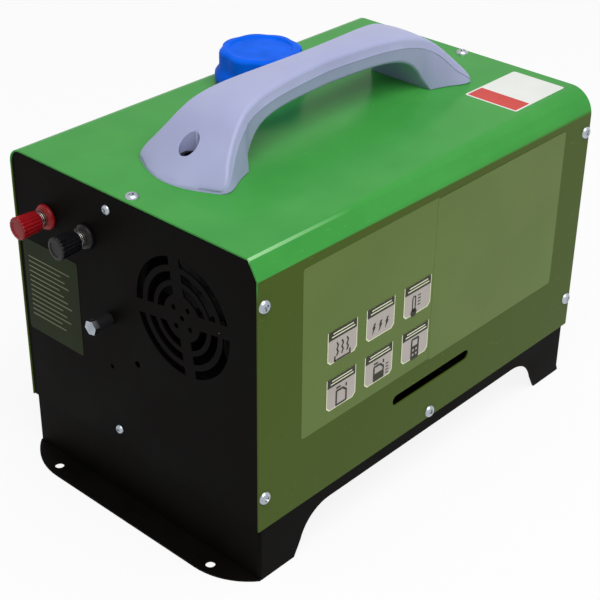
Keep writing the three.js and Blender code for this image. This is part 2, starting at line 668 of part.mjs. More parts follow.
// the flange on the ground beyond one end, drawn in (X, Y)
function flangeShape(end) {
  const reach = END + FLANGE_REACH;
  const depth = reach - BASE_END;
  // each corner's arc starts at the corner of the tray's wall
  const radius = (FLANGE_CORNER_WIDTH ** 2 + depth ** 2) / (2 * depth);
  const halfFlat = BASE_SIDE - FLANGE_CORNER_WIDTH;
  const sweep = Math.asin(FLANGE_CORNER_WIDTH / radius);
  const shape = new THREE.Shape();
  shape.moveTo(BASE_END - BASE_SHEET, BASE_SIDE);
  shape.lineTo(BASE_END - BASE_SHEET, -BASE_SIDE);
  shape.absarc(reach - radius, -halfFlat, radius, -sweep, 0);
  shape.absarc(reach - radius, halfFlat, radius, 0, sweep);
  const hole = (y) => {
    const path = new THREE.Path();
    path.absarc(reach - FLANGE_HOLE.inset, y, FLANGE_HOLE.radius, 0, 2 * Math.PI);
    return path;
  };
  const holeY = farY(FLANGE_HOLE.fromSide);
  shape.holes.push(hole(-holeY), hole(holeY));
  const flange = extrudeZ(shape, 0, BASE_SHEET, 6);
  return end < 0 ? flange.rotateZ(Math.PI) : flange;
}

function baseTray() {
  const shell = block([-BASE_END, -BASE_SIDE, 0], [BASE_END, BASE_SIDE, UPSTAND_TOP]);
  const inside = [BASE_END - BASE_SHEET, BASE_SIDE - BASE_SHEET];
  const below = block([-inside[0], -inside[1], -1], [...inside, FLOOR_TOP - BASE_SHEET]);
  const above = block([-inside[0], -inside[1], FLOOR_TOP], [...inside, UPSTAND_TOP + 1]);
  const arch = extrudeY(archShape(), -CASE_WIDTH, CASE_WIDTH, 6);
  const holes = [
    ...[EXHAUST, INTAKE_PIPE].map(({ radius, setback }) =>
      rodZ(radius + PIPE_CLEARANCE, 0, FLOOR_TOP + 5, CORE_FRONT - setback, CORE_Y)),
    rodY(screwHole, -SIDE, SIDE, 0, seamZ(MIDDLE_SCREW_RISE), 8),
  ];
  const tray = cut(shell, below, above, arch, ...holes);
  return join(tray, flangeShape(-1), flangeShape(1));
}

function partitionPlate() {
  const clear = BASE_END - BASE_SHEET - FIT_GAP;
  const [y, top] = [PARTITION_Y, PARTITION_TOP];
  const far = y + PARTITION.flange;
  const wall = block([-clear, y, FLOOR_SEAT], [clear, y + PANEL_SHEET, top]);
  const upper = block([-BASE_END, y, RIM_BOTTOM], [BASE_END, y + PANEL_SHEET, top]);
  const flanges = [-1, 1].map((end) => {
    const [from, to] = [end * BASE_END, end * (BASE_END - PANEL_SHEET)].sort((a, b) => a - b);
    return block([from, y, RIM_BOTTOM], [to, far, top]);
  });
  const rimRoom = [-1, 1].map((end) => {
    const [from, to] = [end * END, end * (END - RIM_DEPTH - PANEL_RECESS - 1)].sort((a, b) => a - b);
    return block([from, y - 1, top - 3], [to, far + 1, top + 1]);
  });
  const standoffBore = STANDOFF_BOLT.shankRadius + FIT_GAP;
  return cut(
    join(wall, upper, ...flanges),
    ...rimRoom,
    rodX(standoffBore, -END, -END / 2, STANDOFF_Y, STANDOFF_Z),
    ...panelScrewBores(-1),
    ...panelScrewBores(1),
    rodY(HOSE_RADIUS + 2, y - 10, y + 20, CROSSING_X, CROSSING_Z),
  );
}

// ---------------------------------------------------------------- handle

// where the foot's side edges end, and how far the end bulges beyond them
const HANDLE_FOOT = HANDLE.halfLength - HANDLE.bulge;

// a smooth curve over the distance from the middle, as a function of that distance
function profile(...points) {
  const curve = new THREE.CubicBezierCurve(...points.map(([x, y]) => new THREE.Vector2(x, y)));
  const samples = curve.getPoints(HANDLE_SAMPLES);
  return (x) => {
    const next = samples.findIndex((sample, i) => i > 0 && sample.x <= x + HANDLE_TOLERANCE);
    const [from, to] = [samples[next - 1], samples[next]];
    return THREE.MathUtils.mapLinear(x, from.x, to.x, from.y, to.y);
  };
}

const handleTop = profile(
  [HANDLE_FOOT, HANDLE.lip],
  [HANDLE_FOOT - 39, HANDLE.grip - 1.4],
  [HANDLE_FOOT - 26.7, HANDLE.grip - 1.5],
  [0, HANDLE.grip],
);
const handleHalfWidth = profile(
  [HANDLE_FOOT, HANDLE.footHalfWidth],
  [HANDLE_FOOT - 18, HANDLE.footHalfWidth + 1.4],
  [HANDLE_FOOT - 1, HANDLE.gripHalfWidth + 4.8],
  [0, HANDLE.gripHalfWidth],
);
const handleOpening = profile(
  [HANDLE.opening, 0],
  [HANDLE.opening - 13.5, HANDLE.finger + 2.9],
  [HANDLE.opening - 26.3, HANDLE.finger - 0.2],
  [0, HANDLE.finger],
);

// one closed section of the handle across X; end is -1 or 1
function handleSection(along, end) {
  const half = handleHalfWidth(along);
  const top = handleTop(along);
  const under = along < HANDLE.opening ? handleOpening(along) : 0;
  const base = CASE_HEIGHT + SEAT_GAP;
  const flare = HANDLE.flare * Math.min(1, along / HANDLE.opening);
  const foot = under > 0 ? half * 0.92 : half + flare;
  const waist = under > 0 ? half + 1.6 : half + flare * 0.45;
  const crown = HANDLE.crown * Math.min(1, top / 20);
  const corners = [
    [0, top + crown],
    [0.62 * half, top + 0.65 * crown],
    [half, top],
    [waist, 0.6 * top + 0.4 * under],
    [foot, under],
  ];
  const bow = HANDLE.bulge * Math.max(0, (along - HANDLE.opening) / (HANDLE_FOOT - HANDLE.opening)) ** 2;
  const across = [...corners.slice(1).reverse().map(([y, z]) => [-y, z]), ...corners];
  return across.map(([y, z]) => {
    const share = Math.min(1, (y / half) ** 2);
    return new THREE.Vector3(end * (along + bow * (1 - share)), y, base + z);
  });
}

function handleBody() {
  // sections crowd towards the foot, where the shape changes fastest
  const spread = (k) => HANDLE_FOOT * (1 - (k / HANDLE_SECTIONS) ** HANDLE_CROWDING);
  const distances = Array.from({ length: HANDLE_SECTIONS }, (_, k) => spread(k));
  const mirrored = distances.map((along) => handleSection(along, -1));
  const straight = [0, ...distances.reverse()].map((along) => handleSection(along, 1));
  const rings = [...mirrored, ...straight];
  const skin = loft(rings);
  const close = (first, flip) => {
    for (let i = 1; i + 1 < skin.count; i += 1) {
      const [b, c] = flip ? [i + 1, i] : [i, i + 1];
      skin.index.push(first, first + b, first + c);
    }
  };
  close(0, true);
  close((rings.length - 1) * skin.count, false);
  return finishLoft(skin);
}

function handle() {
  const seat = CASE_HEIGHT + HANDLE_BOLT.seat;
  const bores = [-1, 1].flatMap((end) => [
    rodZ(HANDLE_BORE_RADIUS, seat, CASE_HEIGHT + 60, end * HANDLE_BOLT_X, 0, 24),
    rodZ(HANDLE_BOLT.shankRadius + FIT_GAP, CASE_HEIGHT - 5, seat + 1, end * HANDLE_BOLT_X, 0, 16),
  ]);
  return cut(handleBody(), ...bores);
}

// ---------------------------------------------------------------- fuel filler and tank

function lobedCap() {
  const foot = CASE_HEIGHT + CAP.bottom;
  const top = CASE_HEIGHT + CAP.top;
  const bore = NECK.radius + CAP.clearance;
  const roof = NECK_TOP + GASKET.thickness + 2 * FIT_GAP;
  const shell = turnedZ([
    [bore, foot],
    [CAP.skirtRadius - 0.8, foot],
    [CAP.skirtRadius, foot + 1.5],
    [CAP.skirtRadius - 0.5, foot + 5],
    [CAP.topRadius + 1, foot + 10],
    [CAP.topRadius, foot + 13],
    [CAP.topRadius, top - 2],
    [CAP.topRadius - 1.6, top - 0.3],
    [CAP_DISH.radius + 1, top],
    [CAP_DISH.radius, top - CAP_DISH.depth],
    [0, top - CAP_DISH.depth],
    [0, roof],
    [bore, roof],
    [bore, foot],
  ], 40);
  const position = shell.getAttribute('position');
  for (let i = 0; i < position.count; i += 1) {
    const [x, y, z] = [position.getX(i), position.getY(i), position.getZ(i)];
    const radius = Math.hypot(x, y);
    const lobed = radius > CAP_DISH.radius + 2 && radius > bore + 1 && z > foot + 9;
    if (lobed) {
      const lobe = 1 + CAP_LOBES.depth / radius * Math.cos(CAP_LOBES.count * Math.atan2(y, x));
      position.setXY(i, x * lobe, y * lobe);
    }
  }
  return shell.translate(FILLER.x, FILLER_Y, 0);
}

function capGasket() {
  const from = NECK_TOP + FIT_GAP;
  return pipeZ(NECK.radius, NECK.bore - 3, from, from + GASKET.thickness, FILLER.x, FILLER_Y, 20);
}

function fillerGrommet() {
  const bore = NECK.radius + FIT_GAP;
  const edge = NECK.radius + GROMMET.wall - FIT_GAP;
  const lip = NECK.radius + GROMMET.wall + GROMMET.lip;
  const above = CASE_HEIGHT + SEAT_GAP;
  const below = HOOD_TOP_INSIDE - SEAT_GAP;
  return turnedZ([
    [bore, below - GROMMET.lipThickness],
    [lip, below - GROMMET.lipThickness],
    [lip, below],
    [edge, below],
    [edge, above],
    [lip, above],
    [lip - 1, above + GROMMET.lipThickness],
    [bore, above + GROMMET.lipThickness],
    [bore, below - GROMMET.lipThickness],
  ], 24, FILLER.x, FILLER_Y);
}

function fuelTank() {
  const { wall, corner } = TANK;
  const bottom = FLOOR_SEAT;
  const outline = (inset) => roundedRectangle(
    TANK_FRONT - TANK_REAR - 2 * inset,
    TANK_FAR - TANK_NEAR - 2 * inset,
    corner - inset,
    (TANK_FRONT + TANK_REAR) / 2,
    (TANK_FAR + TANK_NEAR) / 2,
  );
  const { radius, length } = TANK_SPIGOT;
  const body = join(
    extrudeZ(outline(0), bottom, TANK_TOP, 3),
    rodZ(NECK.radius, TANK_TOP - 1, NECK_TOP, FILLER.x, FILLER_Y, 24),
    rodX(radius, TANK_FRONT - 1, TANK_FRONT + length, SPIGOT_Y, SPIGOT_Z, 12),
  );
  return cut(
    body,
    extrudeZ(outline(wall), bottom + wall, TANK_TOP - wall, 3),
    rodZ(NECK.bore, TANK_TOP - wall - 1, NECK_TOP + 5, FILLER.x, FILLER_Y, 24),
    rodX(radius / 2, TANK_FRONT - wall - 1, END, SPIGOT_Y, SPIGOT_Z, 10),
  );
}

// ---------------------------------------------------------------- battery posts and stand-off

// posts are drawn along +Z from the panel's face and turned to point out of the rear end
function postBase() {
  const { radius, height, bush, tail } = POST_BASE;
  const bore = POST_STUD.radius + FIT_GAP;
  return turnedZ([
    [bore, -tail],
    [bush, -tail],
    [bush, SEAT_GAP],
    [radius, SEAT_GAP],
    [radius, height * 0.5],
    [radius * 0.82, height],
    [bore, height],
    [bore, -tail],
  ], 16);
}

function postStud() {
  const { radius, reach, tail, seatRadius, seatHeight, nut, nutHeight } = POST_STUD;
  const seat = POST_BASE.height + SEAT_GAP;
  const nutTop = -POST_BASE.tail - SEAT_GAP;
  const stud = turnedZ([
    [0, -tail],
    [radius, -tail],
    [radius, seat],
    [seatRadius, seat],
    [seatRadius, seat + seatHeight],
    [radius, seat + seatHeight],
    [radius, reach - 1],
    [radius - 1, reach],
    [0, reach],
  ], 12);
  return join(stud, rodZ(nut, nutTop - nutHeight, nutTop, 0, 0, 6));
}

function postWasher() {
  const { radius, thickness } = POST_WASHER;
  const from = POST_BASE.height + SEAT_GAP + POST_STUD.seatHeight + FIT_GAP;
  return pipeZ(radius, POST_STUD.radius + FIT_GAP, from, from + thickness, 0, 0, 14);
}

function postKnob() {
  const { inner, outer, end, ribs, ribDepth } = POST_KNOB;
  const ring = (radius, z) => Array.from({ length: 2 * ribs }, (unused, i) => {
    const angle = i * Math.PI / ribs;
    const ribbed = radius - (i % 2) * ribDepth;
    return new THREE.Vector3(Math.cos(angle) * ribbed, Math.sin(angle) * ribbed, z);
  });
  const rings = [ring(inner, KNOB_START), ring(outer, end - 0.8), ring(outer - 0.8, end)];
  const skin = loft(rings);
  for (let i = 1; i + 1 < skin.count; i += 1) {
    const last = (rings.length - 1) * skin.count;
    skin.index.push(0, i + 1, i);
    skin.index.push(last, last + i, last + i + 1);
  }
  const bore = rodZ(POST_STUD.radius + FIT_GAP, KNOB_START - 1, POST_STUD.reach + FIT_GAP, 0, 0, 12);
  return cut(finishLoft(skin), bore);
}

function standoffSpacer() {
  const bore = STANDOFF_BOLT.shankRadius + FIT_GAP;
  return pipeZ(STANDOFF.radius, bore, SEAT_GAP, STANDOFF.length, 0, 0, 14);
}

function standoffBolt() {
  const { acrossFlats, headHeight, shankRadius, tail } = STANDOFF_BOLT;
  const from = STANDOFF.length + SEAT_GAP;
  return join(
    rodZ(acrossFlats / Math.sqrt(3), from, from + headHeight, 0, 0, 6),
    rodZ(shankRadius, -tail, from + 1, 0, 0, 14),
  );
}

// ---------------------------------------------------------------- heater core

function coreShell() {
  const { halfHeight, corner, wall } = CORE;
  const section = (inset) => roundedRectangle(
    2 * (CORE_HALF_WIDTH - inset),
    2 * (halfHeight - inset),
    corner - inset,
    CORE_Y,
    CORE_Z,
  );
  const nozzleBore = NOZZLE.radius - NOZZLE.wall;
  const shell = join(
    extrudeX(section(0), CORE_REAR, CORE_FRONT, 4),
    rodX(NOZZLE.radius, CORE_FRONT - 1, NOZZLE_END, CORE_Y, CORE_Z, 24),
  );
  const footRoom = block(
    [FOOT_REAR - 1, CORE_Y - CORE_FOOT.halfWidth - 1, FOOT_BOTTOM],
    [FOOT_FRONT + 1, CORE_Y + CORE_FOOT.halfWidth + 1, CORE_Z - halfHeight + wall + 1],
  );
  return cut(
    shell,
    extrudeX(section(wall), CORE_REAR + wall, CORE_FRONT - wall, 4),
    rodX(INTAKE_MOUTH_RADIUS, CORE_REAR - 1, CORE_REAR + wall + 1, CORE_Y, CORE_Z, 24),
    rodX(nozzleBore, CORE_FRONT - wall - 1, NOZZLE_END + 1, CORE_Y, CORE_Z, 24),
    footRoom,
    rodZ(FUEL_PORT.radius + 1, FOOT_BOTTOM, CORE_Z - halfHeight / 2, FUEL_PORT_X, FUEL_PORT_Y, 12),
  );
}

function shellHalf(side) {
  const reach = 2 * CORE.halfHeight;
  const [low, high] = [side * FIT_GAP / 2, side * reach].sort((a, b) => a - b).map((z) => CORE_Z + z);
  return common(coreShell(), block([-END, CORE_Y - reach, low], [END, CORE_Y + reach, high]));
}

// the finned casting's outline in (Y, Z)
function finShape() {
  const { root, tip, bore, fins, finWidth } = EXCHANGER;
  const shape = new THREE.Shape();
  for (let fin = 0; fin < fins; fin += 1) {
    const angle = fin * 2 * Math.PI / fins;
    const spread = Math.asin(finWidth / 2 / root);
    const tipSpread = Math.asin(finWidth / 2 / tip);
    const corners = [[root, -spread], [tip, -tipSpread], [tip, tipSpread], [root, spread]];
    corners.forEach(([radius, offset], corner) => {
      const point = [Math.cos(angle + offset) * radius, Math.sin(angle + offset) * radius];
      if (fin === 0 && corner === 0) shape.moveTo(...point);
      else shape.lineTo(...point);
    });
  }
  const hole = new THREE.Path();
  hole.absarc(0, 0, bore, 0, 2 * Math.PI);
  shape.holes.push(hole);
  return shape;
}

function heatExchanger() {
  const { root, bore } = EXCHANGER;
  const casting = join(
    extrudeX(finShape(), EXCHANGER_REAR, EXCHANGER_FRONT, 10).translate(0, CORE_Y, CORE_Z),
    rodX(root - 2, EXCHANGER_FRONT - 5, EXCHANGER_FRONT, CORE_Y, CORE_Z, 24),
    block(
      [FOOT_REAR, CORE_Y - CORE_FOOT.halfWidth, FOOT_BOTTOM],
      [FOOT_FRONT, CORE_Y + CORE_FOOT.halfWidth, CORE_Z - bore - 5],
    ),
    rodZ(FUEL_PORT.radius, FOOT_BOTTOM, CORE_Z - bore / 2 - 4.5, FUEL_PORT_X, FUEL_PORT_Y, 12),
  );
  const ports = [EXHAUST, INTAKE_PIPE].map(({ setback, radius }) =>
    rodZ(radius - 3, FOOT_BOTTOM - 1, CORE_Z, CORE_FRONT - setback, CORE_Y, 16));
  return cut(casting, ...ports);
}

function burnerTube() {
  const { radius, wall, length } = BURNER;
  const front = EXCHANGER_REAR - SEAT_GAP;
  return turnedX([
    [radius - wall, BURNER_REAR],
    [BLOWER_CUP.radius, BURNER_REAR],
    [BLOWER_CUP.radius, front],
    [radius, front],
    [radius, BURNER_REAR + length],
    [radius - wall, BURNER_REAR + length],
    [radius - wall, BURNER_REAR],
  ], 16, CORE_Y, CORE_Z);
}

function blowerMotor() {
  const bore = SHAFT_RADIUS + FIT_GAP;
  const { radius } = MOTOR;
  const [rear, front] = [MOTOR_REAR, MOTOR_FRONT];
  const cup = BLOWER_CUP;
  const rim = BURNER_REAR - SEAT_GAP;
  return turnedX([
    [bore, rear],
    [radius - 3, rear],
    [radius, rear + 4],
    [radius, front],
    [cup.radius, front],
    [cup.radius, rim],
    [cup.radius - cup.wall, rim],
    [cup.radius - cup.wall, front + cup.wall],
    [bore, front + cup.wall],
    [bore, rear],
  ], 16, CORE_Y, CORE_Z);
}

function rotorShaft() {
  const tip = IMPELLER_REAR + IMPELLER.thickness;
  const shaft = rodX(SHAFT_RADIUS, FAN_REAR + 4, tip, CORE_Y, CORE_Z, 10);
  const disc = rodX(IMPELLER.radius, IMPELLER_REAR, IMPELLER_REAR + IMPELLER.disc, CORE_Y, CORE_Z, 16);
  const half = IMPELLER.bladeThickness / 2;
  const vanes = Array.from({ length: IMPELLER.blades }, (unused, i) =>
    block([IMPELLER_REAR, 2 * SHAFT_RADIUS, -half], [tip, IMPELLER.radius - 1, half])
      .rotateX(i * 2 * Math.PI / IMPELLER.blades)
      .translate(0, CORE_Y, CORE_Z));
  return join(shaft, disc, ...vanes);
}

function fanWheel() {
  const { radius, hub, width, blades, bladeThickness, pitch } = FAN;
  const rear = FAN_REAR;
  const hubBody = turnedX([
    [0, rear],
    [hub * 0.6, rear + 1],
    [hub, rear + 7],
    [hub, rear + width],
    [0, rear + width],
  ], 16, CORE_Y, CORE_Z);
  const half = [bladeThickness / 2, width / 2];
  const blade = (i) => block([-half[0], hub - 3, -half[1]], [half[0], radius, half[1]])
    .rotateY(THREE.MathUtils.degToRad(pitch))
    .rotateX(i * 2 * Math.PI / blades)
    .translate(rear + width / 2, CORE_Y, CORE_Z);
  const wheel = join(hubBody, ...Array.from({ length: blades }, (unused, i) => blade(i)));
  return cut(wheel, rodX(SHAFT_RADIUS + FIT_GAP, rear + 4 - FIT_GAP, rear + width + 5, CORE_Y, CORE_Z, 10));
}

function controlUnit() {
  const { fromExchanger, length, width, height, drop, plug } = CONTROL_UNIT;
  const front = EXCHANGER_REAR - fromExchanger;
  const top = CORE_Z + CORE.halfHeight - CORE.wall - FIT_GAP;
  const low = top - height;
  return join(
    block([front - length, CORE_Y - width / 2, low], [front, CORE_Y + width / 2, top]),
    block([front - plug / 2, CORE_Y - plug / 2, low - drop], [front - 2, CORE_Y + plug / 2, low + 1]),
  );
}

// an inverted U of thick sheet that carries the heater, drawn in (X, Z)
function heaterBracket() {
  const { setback, length, sheet, near, far, foot } = BRACKET;
  const front = CORE_FRONT - setback;
  const rear = front - length;
  const low = FLOOR_SEAT;
  const shape = new THREE.Shape([
    [rear - foot, low],
    [rear + sheet, low],
    [rear + sheet, BRACKET_TOP - sheet],
    [front - sheet, BRACKET_TOP - sheet],
    [front - sheet, low],
    [front + foot, low],
    [front + foot, low + sheet],
    [front, low + sheet],
    [front, BRACKET_TOP],
    [rear, BRACKET_TOP],
    [rear, low + sheet],
    [rear - foot, low + sheet],
  ].map(([x, z]) => new THREE.Vector2(x, z)));
  const ports = [EXHAUST, INTAKE_PIPE].map((pipe) =>
    rodZ(pipe.radius + PIPE_CLEARANCE, BRACKET_TOP - 10, BRACKET_TOP + 5, CORE_FRONT - pipe.setback, CORE_Y));
  return cut(extrudeY(shape, CORE_Y - near, CORE_Y + far), ...ports);
}

// ---------------------------------------------------------------- pipes, pump and supply

function dropPipe({ setback, radius, wall, below }) {
  const bottom = FLOOR_TOP - BASE_SHEET - below;
  return pipeZ(radius, radius - wall, bottom, FOOT_BOTTOM - SEAT_GAP, CORE_FRONT - setback, CORE_Y, 16);
}

function fuelPump() {
  const { radius, nipple, nippleLength } = PUMP;
  const [y, rear, front] = [PUMP_Y, PUMP_REAR, PUMP_FRONT];
  const foot = FLOOR_SEAT;
  const body = turnedX([
    [0, rear - nippleLength],
    [nipple, rear - nippleLength],
    [nipple, rear],
    [radius * 0.62, rear],
    [radius * 0.62, rear + 22],
    [radius, rear + 22],
    [radius, front - 16],
    [radius * 0.7, front - 16],
    [radius * 0.7, front],
    [nipple, front],
    [nipple, front + nippleLength],
    [0, front + nippleLength],
  ], 12, y, PUMP_Z);
  const middle = (rear + front) / 2;
  const stand = block([middle - 9, y - 10, foot], [middle + 9, y + 10, PUMP_Z - radius + 2]);
  return join(body, stand);
}

function hose(points) {
  const path = new THREE.CatmullRomCurve3(points.map((point) => new THREE.Vector3(...point)));
  const section = new THREE.Shape();
  section.absarc(0, 0, HOSE_RADIUS, 0, 2 * Math.PI);
  const options = { steps: 20, extrudePath: path, curveSegments: 4, bevelEnabled: false };
  return new THREE.ExtrudeGeometry(section, options);
}

function suctionLine() {
  const start = [TANK_FRONT + TANK_SPIGOT.length + FIT_GAP, SPIGOT_Y, SPIGOT_Z];
  const finish = [PUMP_FRONT + PUMP.nippleLength + FIT_GAP, PUMP_Y, PUMP_Z];
  const wall = PARTITION_Y + PANEL_SHEET / 2;
  return hose([
    start,
    [start[0] + 8, start[1], start[2]],
    [CROSSING_X, wall + 17, CROSSING_Z],
    [CROSSING_X, wall, CROSSING_Z],
    [CROSSING_X, wall - 17, CROSSING_Z],
    [CROSSING_X - 3, PUMP_Y + 26, PUMP_Z - 2],
    [CROSSING_X - 11, PUMP_Y + 4, PUMP_Z],
    [finish[0] + 8, finish[1], finish[2]],
    finish,
  ]);
}

function deliveryLine() {
  const start = [PUMP_REAR - PUMP.nippleLength - FIT_GAP, PUMP_Y, PUMP_Z];
  const finish = [FUEL_PORT_X, FUEL_PORT_Y, FOOT_BOTTOM - FIT_GAP];
  return hose([
    start,
    [start[0] - 7, start[1], start[2]],
    [start[0] - 14, start[1], start[2] + 8],
    [start[0] - 8, start[1], start[2] + 22],
    [finish[0] - 6, finish[1], finish[2] - 16],
    [finish[0], finish[1], finish[2] - 7],
    finish,
  ]);
}

function powerSupply() {
  const { fromRear, length, fromNear, fromPartition, height } = POWER_SUPPLY;
  const [rear, near, far] = [fromRear - END, nearY(fromNear), PARTITION_Y - fromPartition];
  const front = rear + length;
  const foot = FLOOR_SEAT;
  const can = block([rear, near, foot], [front, far, foot + height]);
  const ledge = foot + height / 2;
  const step = block([front - 22, near - 1, ledge], [front + 1, far + 1, foot + height + 1]);
  const strip = block([front - 16, near + 8, ledge - 1], [front - 6, far - 8, ledge + height / 4]);
  return join(cut(can, step), strip);
}

// ---------------------------------------------------------------- front panel fittings

function outletCollar() {
  const { radius, wall, reach, flange, flangeThickness, overlap } = OUTLET;
  const seat = PANEL_FACE + SEAT_GAP;
  const bore = radius - wall;
  const tail = NOZZLE_END - overlap;
  return turnedX([
    [bore, tail],
    [radius, tail],
    [radius, seat],
    [radius + flange, seat],
    [radius + flange, seat + flangeThickness],
    [radius, seat + flangeThickness],
    [radius, PANEL_FACE + reach - 2],
    [radius - 0.6, PANEL_FACE + reach],
    [bore, PANEL_FACE + reach],
    [bore, tail],
  ], 30, CORE_Y, CORE_Z);
}

const buttonPlaces = () => [-1, 0, 1].map((step) => ({
  y: CONTROL_PLACE.y + step * BUTTON.spacing,
  z: CONTROL_PLACE.z - BUTTON.drop,
}));

function controlPanel() {
  const { z } = CONTROL_PLACE;
  const front = PANEL_FACE + SEAT_GAP + CONTROL.face;
  const middle = z + DISPLAY.rise;
  const display = block(
    [front - DISPLAY.depth, CONTROL_SPAN[0] + DISPLAY.margin, middle - DISPLAY.height / 2],
    [front + 1, CONTROL_SPAN[1] - DISPLAY.margin, middle + DISPLAY.height / 2],
  );
  const wells = buttonPlaces().map((place) =>
    rodX(BUTTON.radius + FIT_GAP, front - BUTTON.well, front + 1, place.y, place.z, 16));
  return cut(fittingBody(CONTROL_BODY, CONTROL_PLACE), display, ...wells);
}

function controlButton() {
  const front = PANEL_FACE + SEAT_GAP + CONTROL.face;
  const low = front - BUTTON.well + BUTTON.travel + FIT_GAP;
  const rise = front + BUTTON.rise;
  return turnedX([
    [0, low],
    [BUTTON.radius, low],
    [BUTTON.radius, rise - 0.5],
    [BUTTON.radius - 0.8, rise],
    [0, rise],
  ], 16);
}

function mainsInlet() {
  const { y, z } = MAINS_PLACE;
  const { face } = MAINS;
  const seat = PANEL_FACE + SEAT_GAP;
  const { width, height, offset, depth, pinPitch, pinRise, pinWidth } = SOCKET;
  const socketShape = roundedRectangle(width, height, MAINS.corner, y + offset, z);
  const pins = [-1, 0, 1].map((step) => {
    const at = [y + offset + step * pinPitch, z + (step === 0 ? pinRise : -pinRise)];
    return block(
      [seat - depth - 1, at[0] - pinWidth / 2, at[1] - pinWidth],
      [seat - face, at[0] + pinWidth / 2, at[1] + pinWidth],
    );
  });
  const middle = y + ROCKER.offset;
  const half = [ROCKER.width / 2 + 2 * FIT_GAP, ROCKER.height / 2 + 3 * FIT_GAP];
  const rockerRoom = block(
    [seat - ROCKER.room, middle - half[0], z - half[1]],
    [seat + face + 1, middle + half[0], z + half[1]],
  );
  const socket = extrudeX(socketShape, seat - depth, seat + face + 1, 3);
  return join(cut(fittingBody(MAINS, MAINS_PLACE), socket, rockerRoom), ...pins);
}

// the paddle, drawn level in (X, Z) about its pivot, then tipped so that its lower end is in
function rockerSwitch() {
  const { width, height, rise, hollow, root, tilt } = ROCKER;
  const half = height / 2;
  const shape = new THREE.Shape();
  shape.moveTo(-root, -half * 0.55);
  shape.lineTo(rise, -half);
  shape.quadraticCurveTo(rise - 2 * hollow, 0, rise, half);
  shape.lineTo(-root, half * 0.55);
  return extrudeY(shape, -width / 2, width / 2, 5).rotateY(THREE.MathUtils.degToRad(tilt));
}

// ---------------------------------------------------------------- assembly

const heater = new THREE.Group();
heater.name = 'diesel_air_heater';

function place(name, geometry, material, parent = heater) {
  const mesh = new THREE.Mesh(geometry, material);
  mesh.name = name;
  parent.add(mesh);
  return mesh;
}

function placeCase() {
  place('base_tray', baseTray(), BLACK_POWDER_COAT);
  place('hood', hood(), GREEN_POWDER_COAT);
  place('rear_panel', rearPanel(), BLACK_POWDER_COAT);
  place('front_panel', frontPanel(), BLACK_POWDER_COAT);
  place('partition_plate', partitionPlate(), ZINC_STEEL);
}

function placeHandle() {
  place('handle', handle(), GREY_PLASTIC);
  const bolt = socketBolt();
  [['handle_bolt_rear', -1], ['handle_bolt_front', 1]].forEach(([name, end]) => {
    place(name, bolt, ZINC_STEEL).position.set(end * HANDLE_BOLT_X, 0, CASE_HEIGHT + HANDLE_BOLT.seat);
  });
}

function placeScrews() {
  const screw = panScrew(SCREW);
  const panelScrew = panScrew(PANEL_SCREW);
  sideScrews.forEach(([spot, x, z]) => {
    [['near', -1], ['far', 1]].forEach(([side, sign]) => {
      const mesh = place(`screw_${side}_${spot}`, screw, ZINC_STEEL);
      mesh.rotation.x = -sign * Math.PI / 2;
      mesh.position.set(x, sign * SIDE, z);
    });
  });
  [['rear', -1], ['front', 1]].forEach(([name, end]) => {
    place(`screw_top_${name}`, screw, ZINC_STEEL).position.set(end * topScrewX, 0, CASE_HEIGHT);
    Object.entries(PANEL_SCREW_Z).forEach(([level, z]) => {
      const mesh = place(`screw_${name}_panel_${level}`, panelScrew, ZINC_STEEL);
      mesh.rotation.y = end * Math.PI / 2;
      mesh.position.set(end * PANEL_FACE, PANEL_SCREW_Y, z);
    });
  });
}

function placeFuel() {
  place('fuel_tank', fuelTank(), NATURAL_PLASTIC);
  place('filler_grommet', fillerGrommet(), RUBBER);
  place('cap_gasket', capGasket(), RUBBER);
  place('fuel_cap', lobedCap(), BLUE_PLASTIC);
  place('fuel_pump', fuelPump(), CAST_ALUMINIUM);
  place('suction_line', suctionLine(), NATURAL_PLASTIC);
  place('delivery_line', deliveryLine(), NATURAL_PLASTIC);
}

function rearGroup(y, z) {
  const group = new THREE.Group();
  group.position.set(-PANEL_FACE, y, z);
  group.rotation.y = -Math.PI / 2;
  heater.add(group);
  return group;
}

function placeRearFittings() {
  const posts = [['red', RED_POST_Y, RED_PLASTIC], ['black', BLACK_POST_Y, BLACK_PLASTIC]];
  posts.forEach(([colour, y, plastic]) => {
    const group = rearGroup(y, topZ(POST.drop));
    place(`${colour}_post_base`, postBase(), plastic, group);
    place(`${colour}_post_stud`, postStud(), ZINC_STEEL, group);
    place(`${colour}_post_washer`, postWasher(), ZINC_STEEL, group);
    place(`${colour}_post_knob`, postKnob(), plastic, group);
  });
  const standoff = rearGroup(STANDOFF_Y, STANDOFF_Z);
  place('standoff_spacer', standoffSpacer(), BLACK_PLASTIC, standoff);
  place('standoff_bolt', standoffBolt(), ZINC_STEEL, standoff);
}

function placeCore() {
  place('shell_lower', shellHalf(-1), BLACK_PLASTIC);
  place('shell_upper', shellHalf(1), BLACK_PLASTIC);
  place('heat_exchanger', heatExchanger(), CAST_ALUMINIUM);
  place('burner_tube', burnerTube(), STAINLESS);
  place('blower_motor', blowerMotor(), CAST_ALUMINIUM);
  place('rotor_shaft', rotorShaft(), STAINLESS);
  place('fan_wheel', fanWheel(), BLACK_PLASTIC);
  place('control_unit', controlUnit(), BLACK_PLASTIC);
  place('heater_bracket', heaterBracket(), ZINC_STEEL);
  place('exhaust_pipe', dropPipe(EXHAUST), STAINLESS);
  place('intake_pipe', dropPipe(INTAKE_PIPE), RUBBER);
  place('power_supply', powerSupply(), CAST_ALUMINIUM);
}

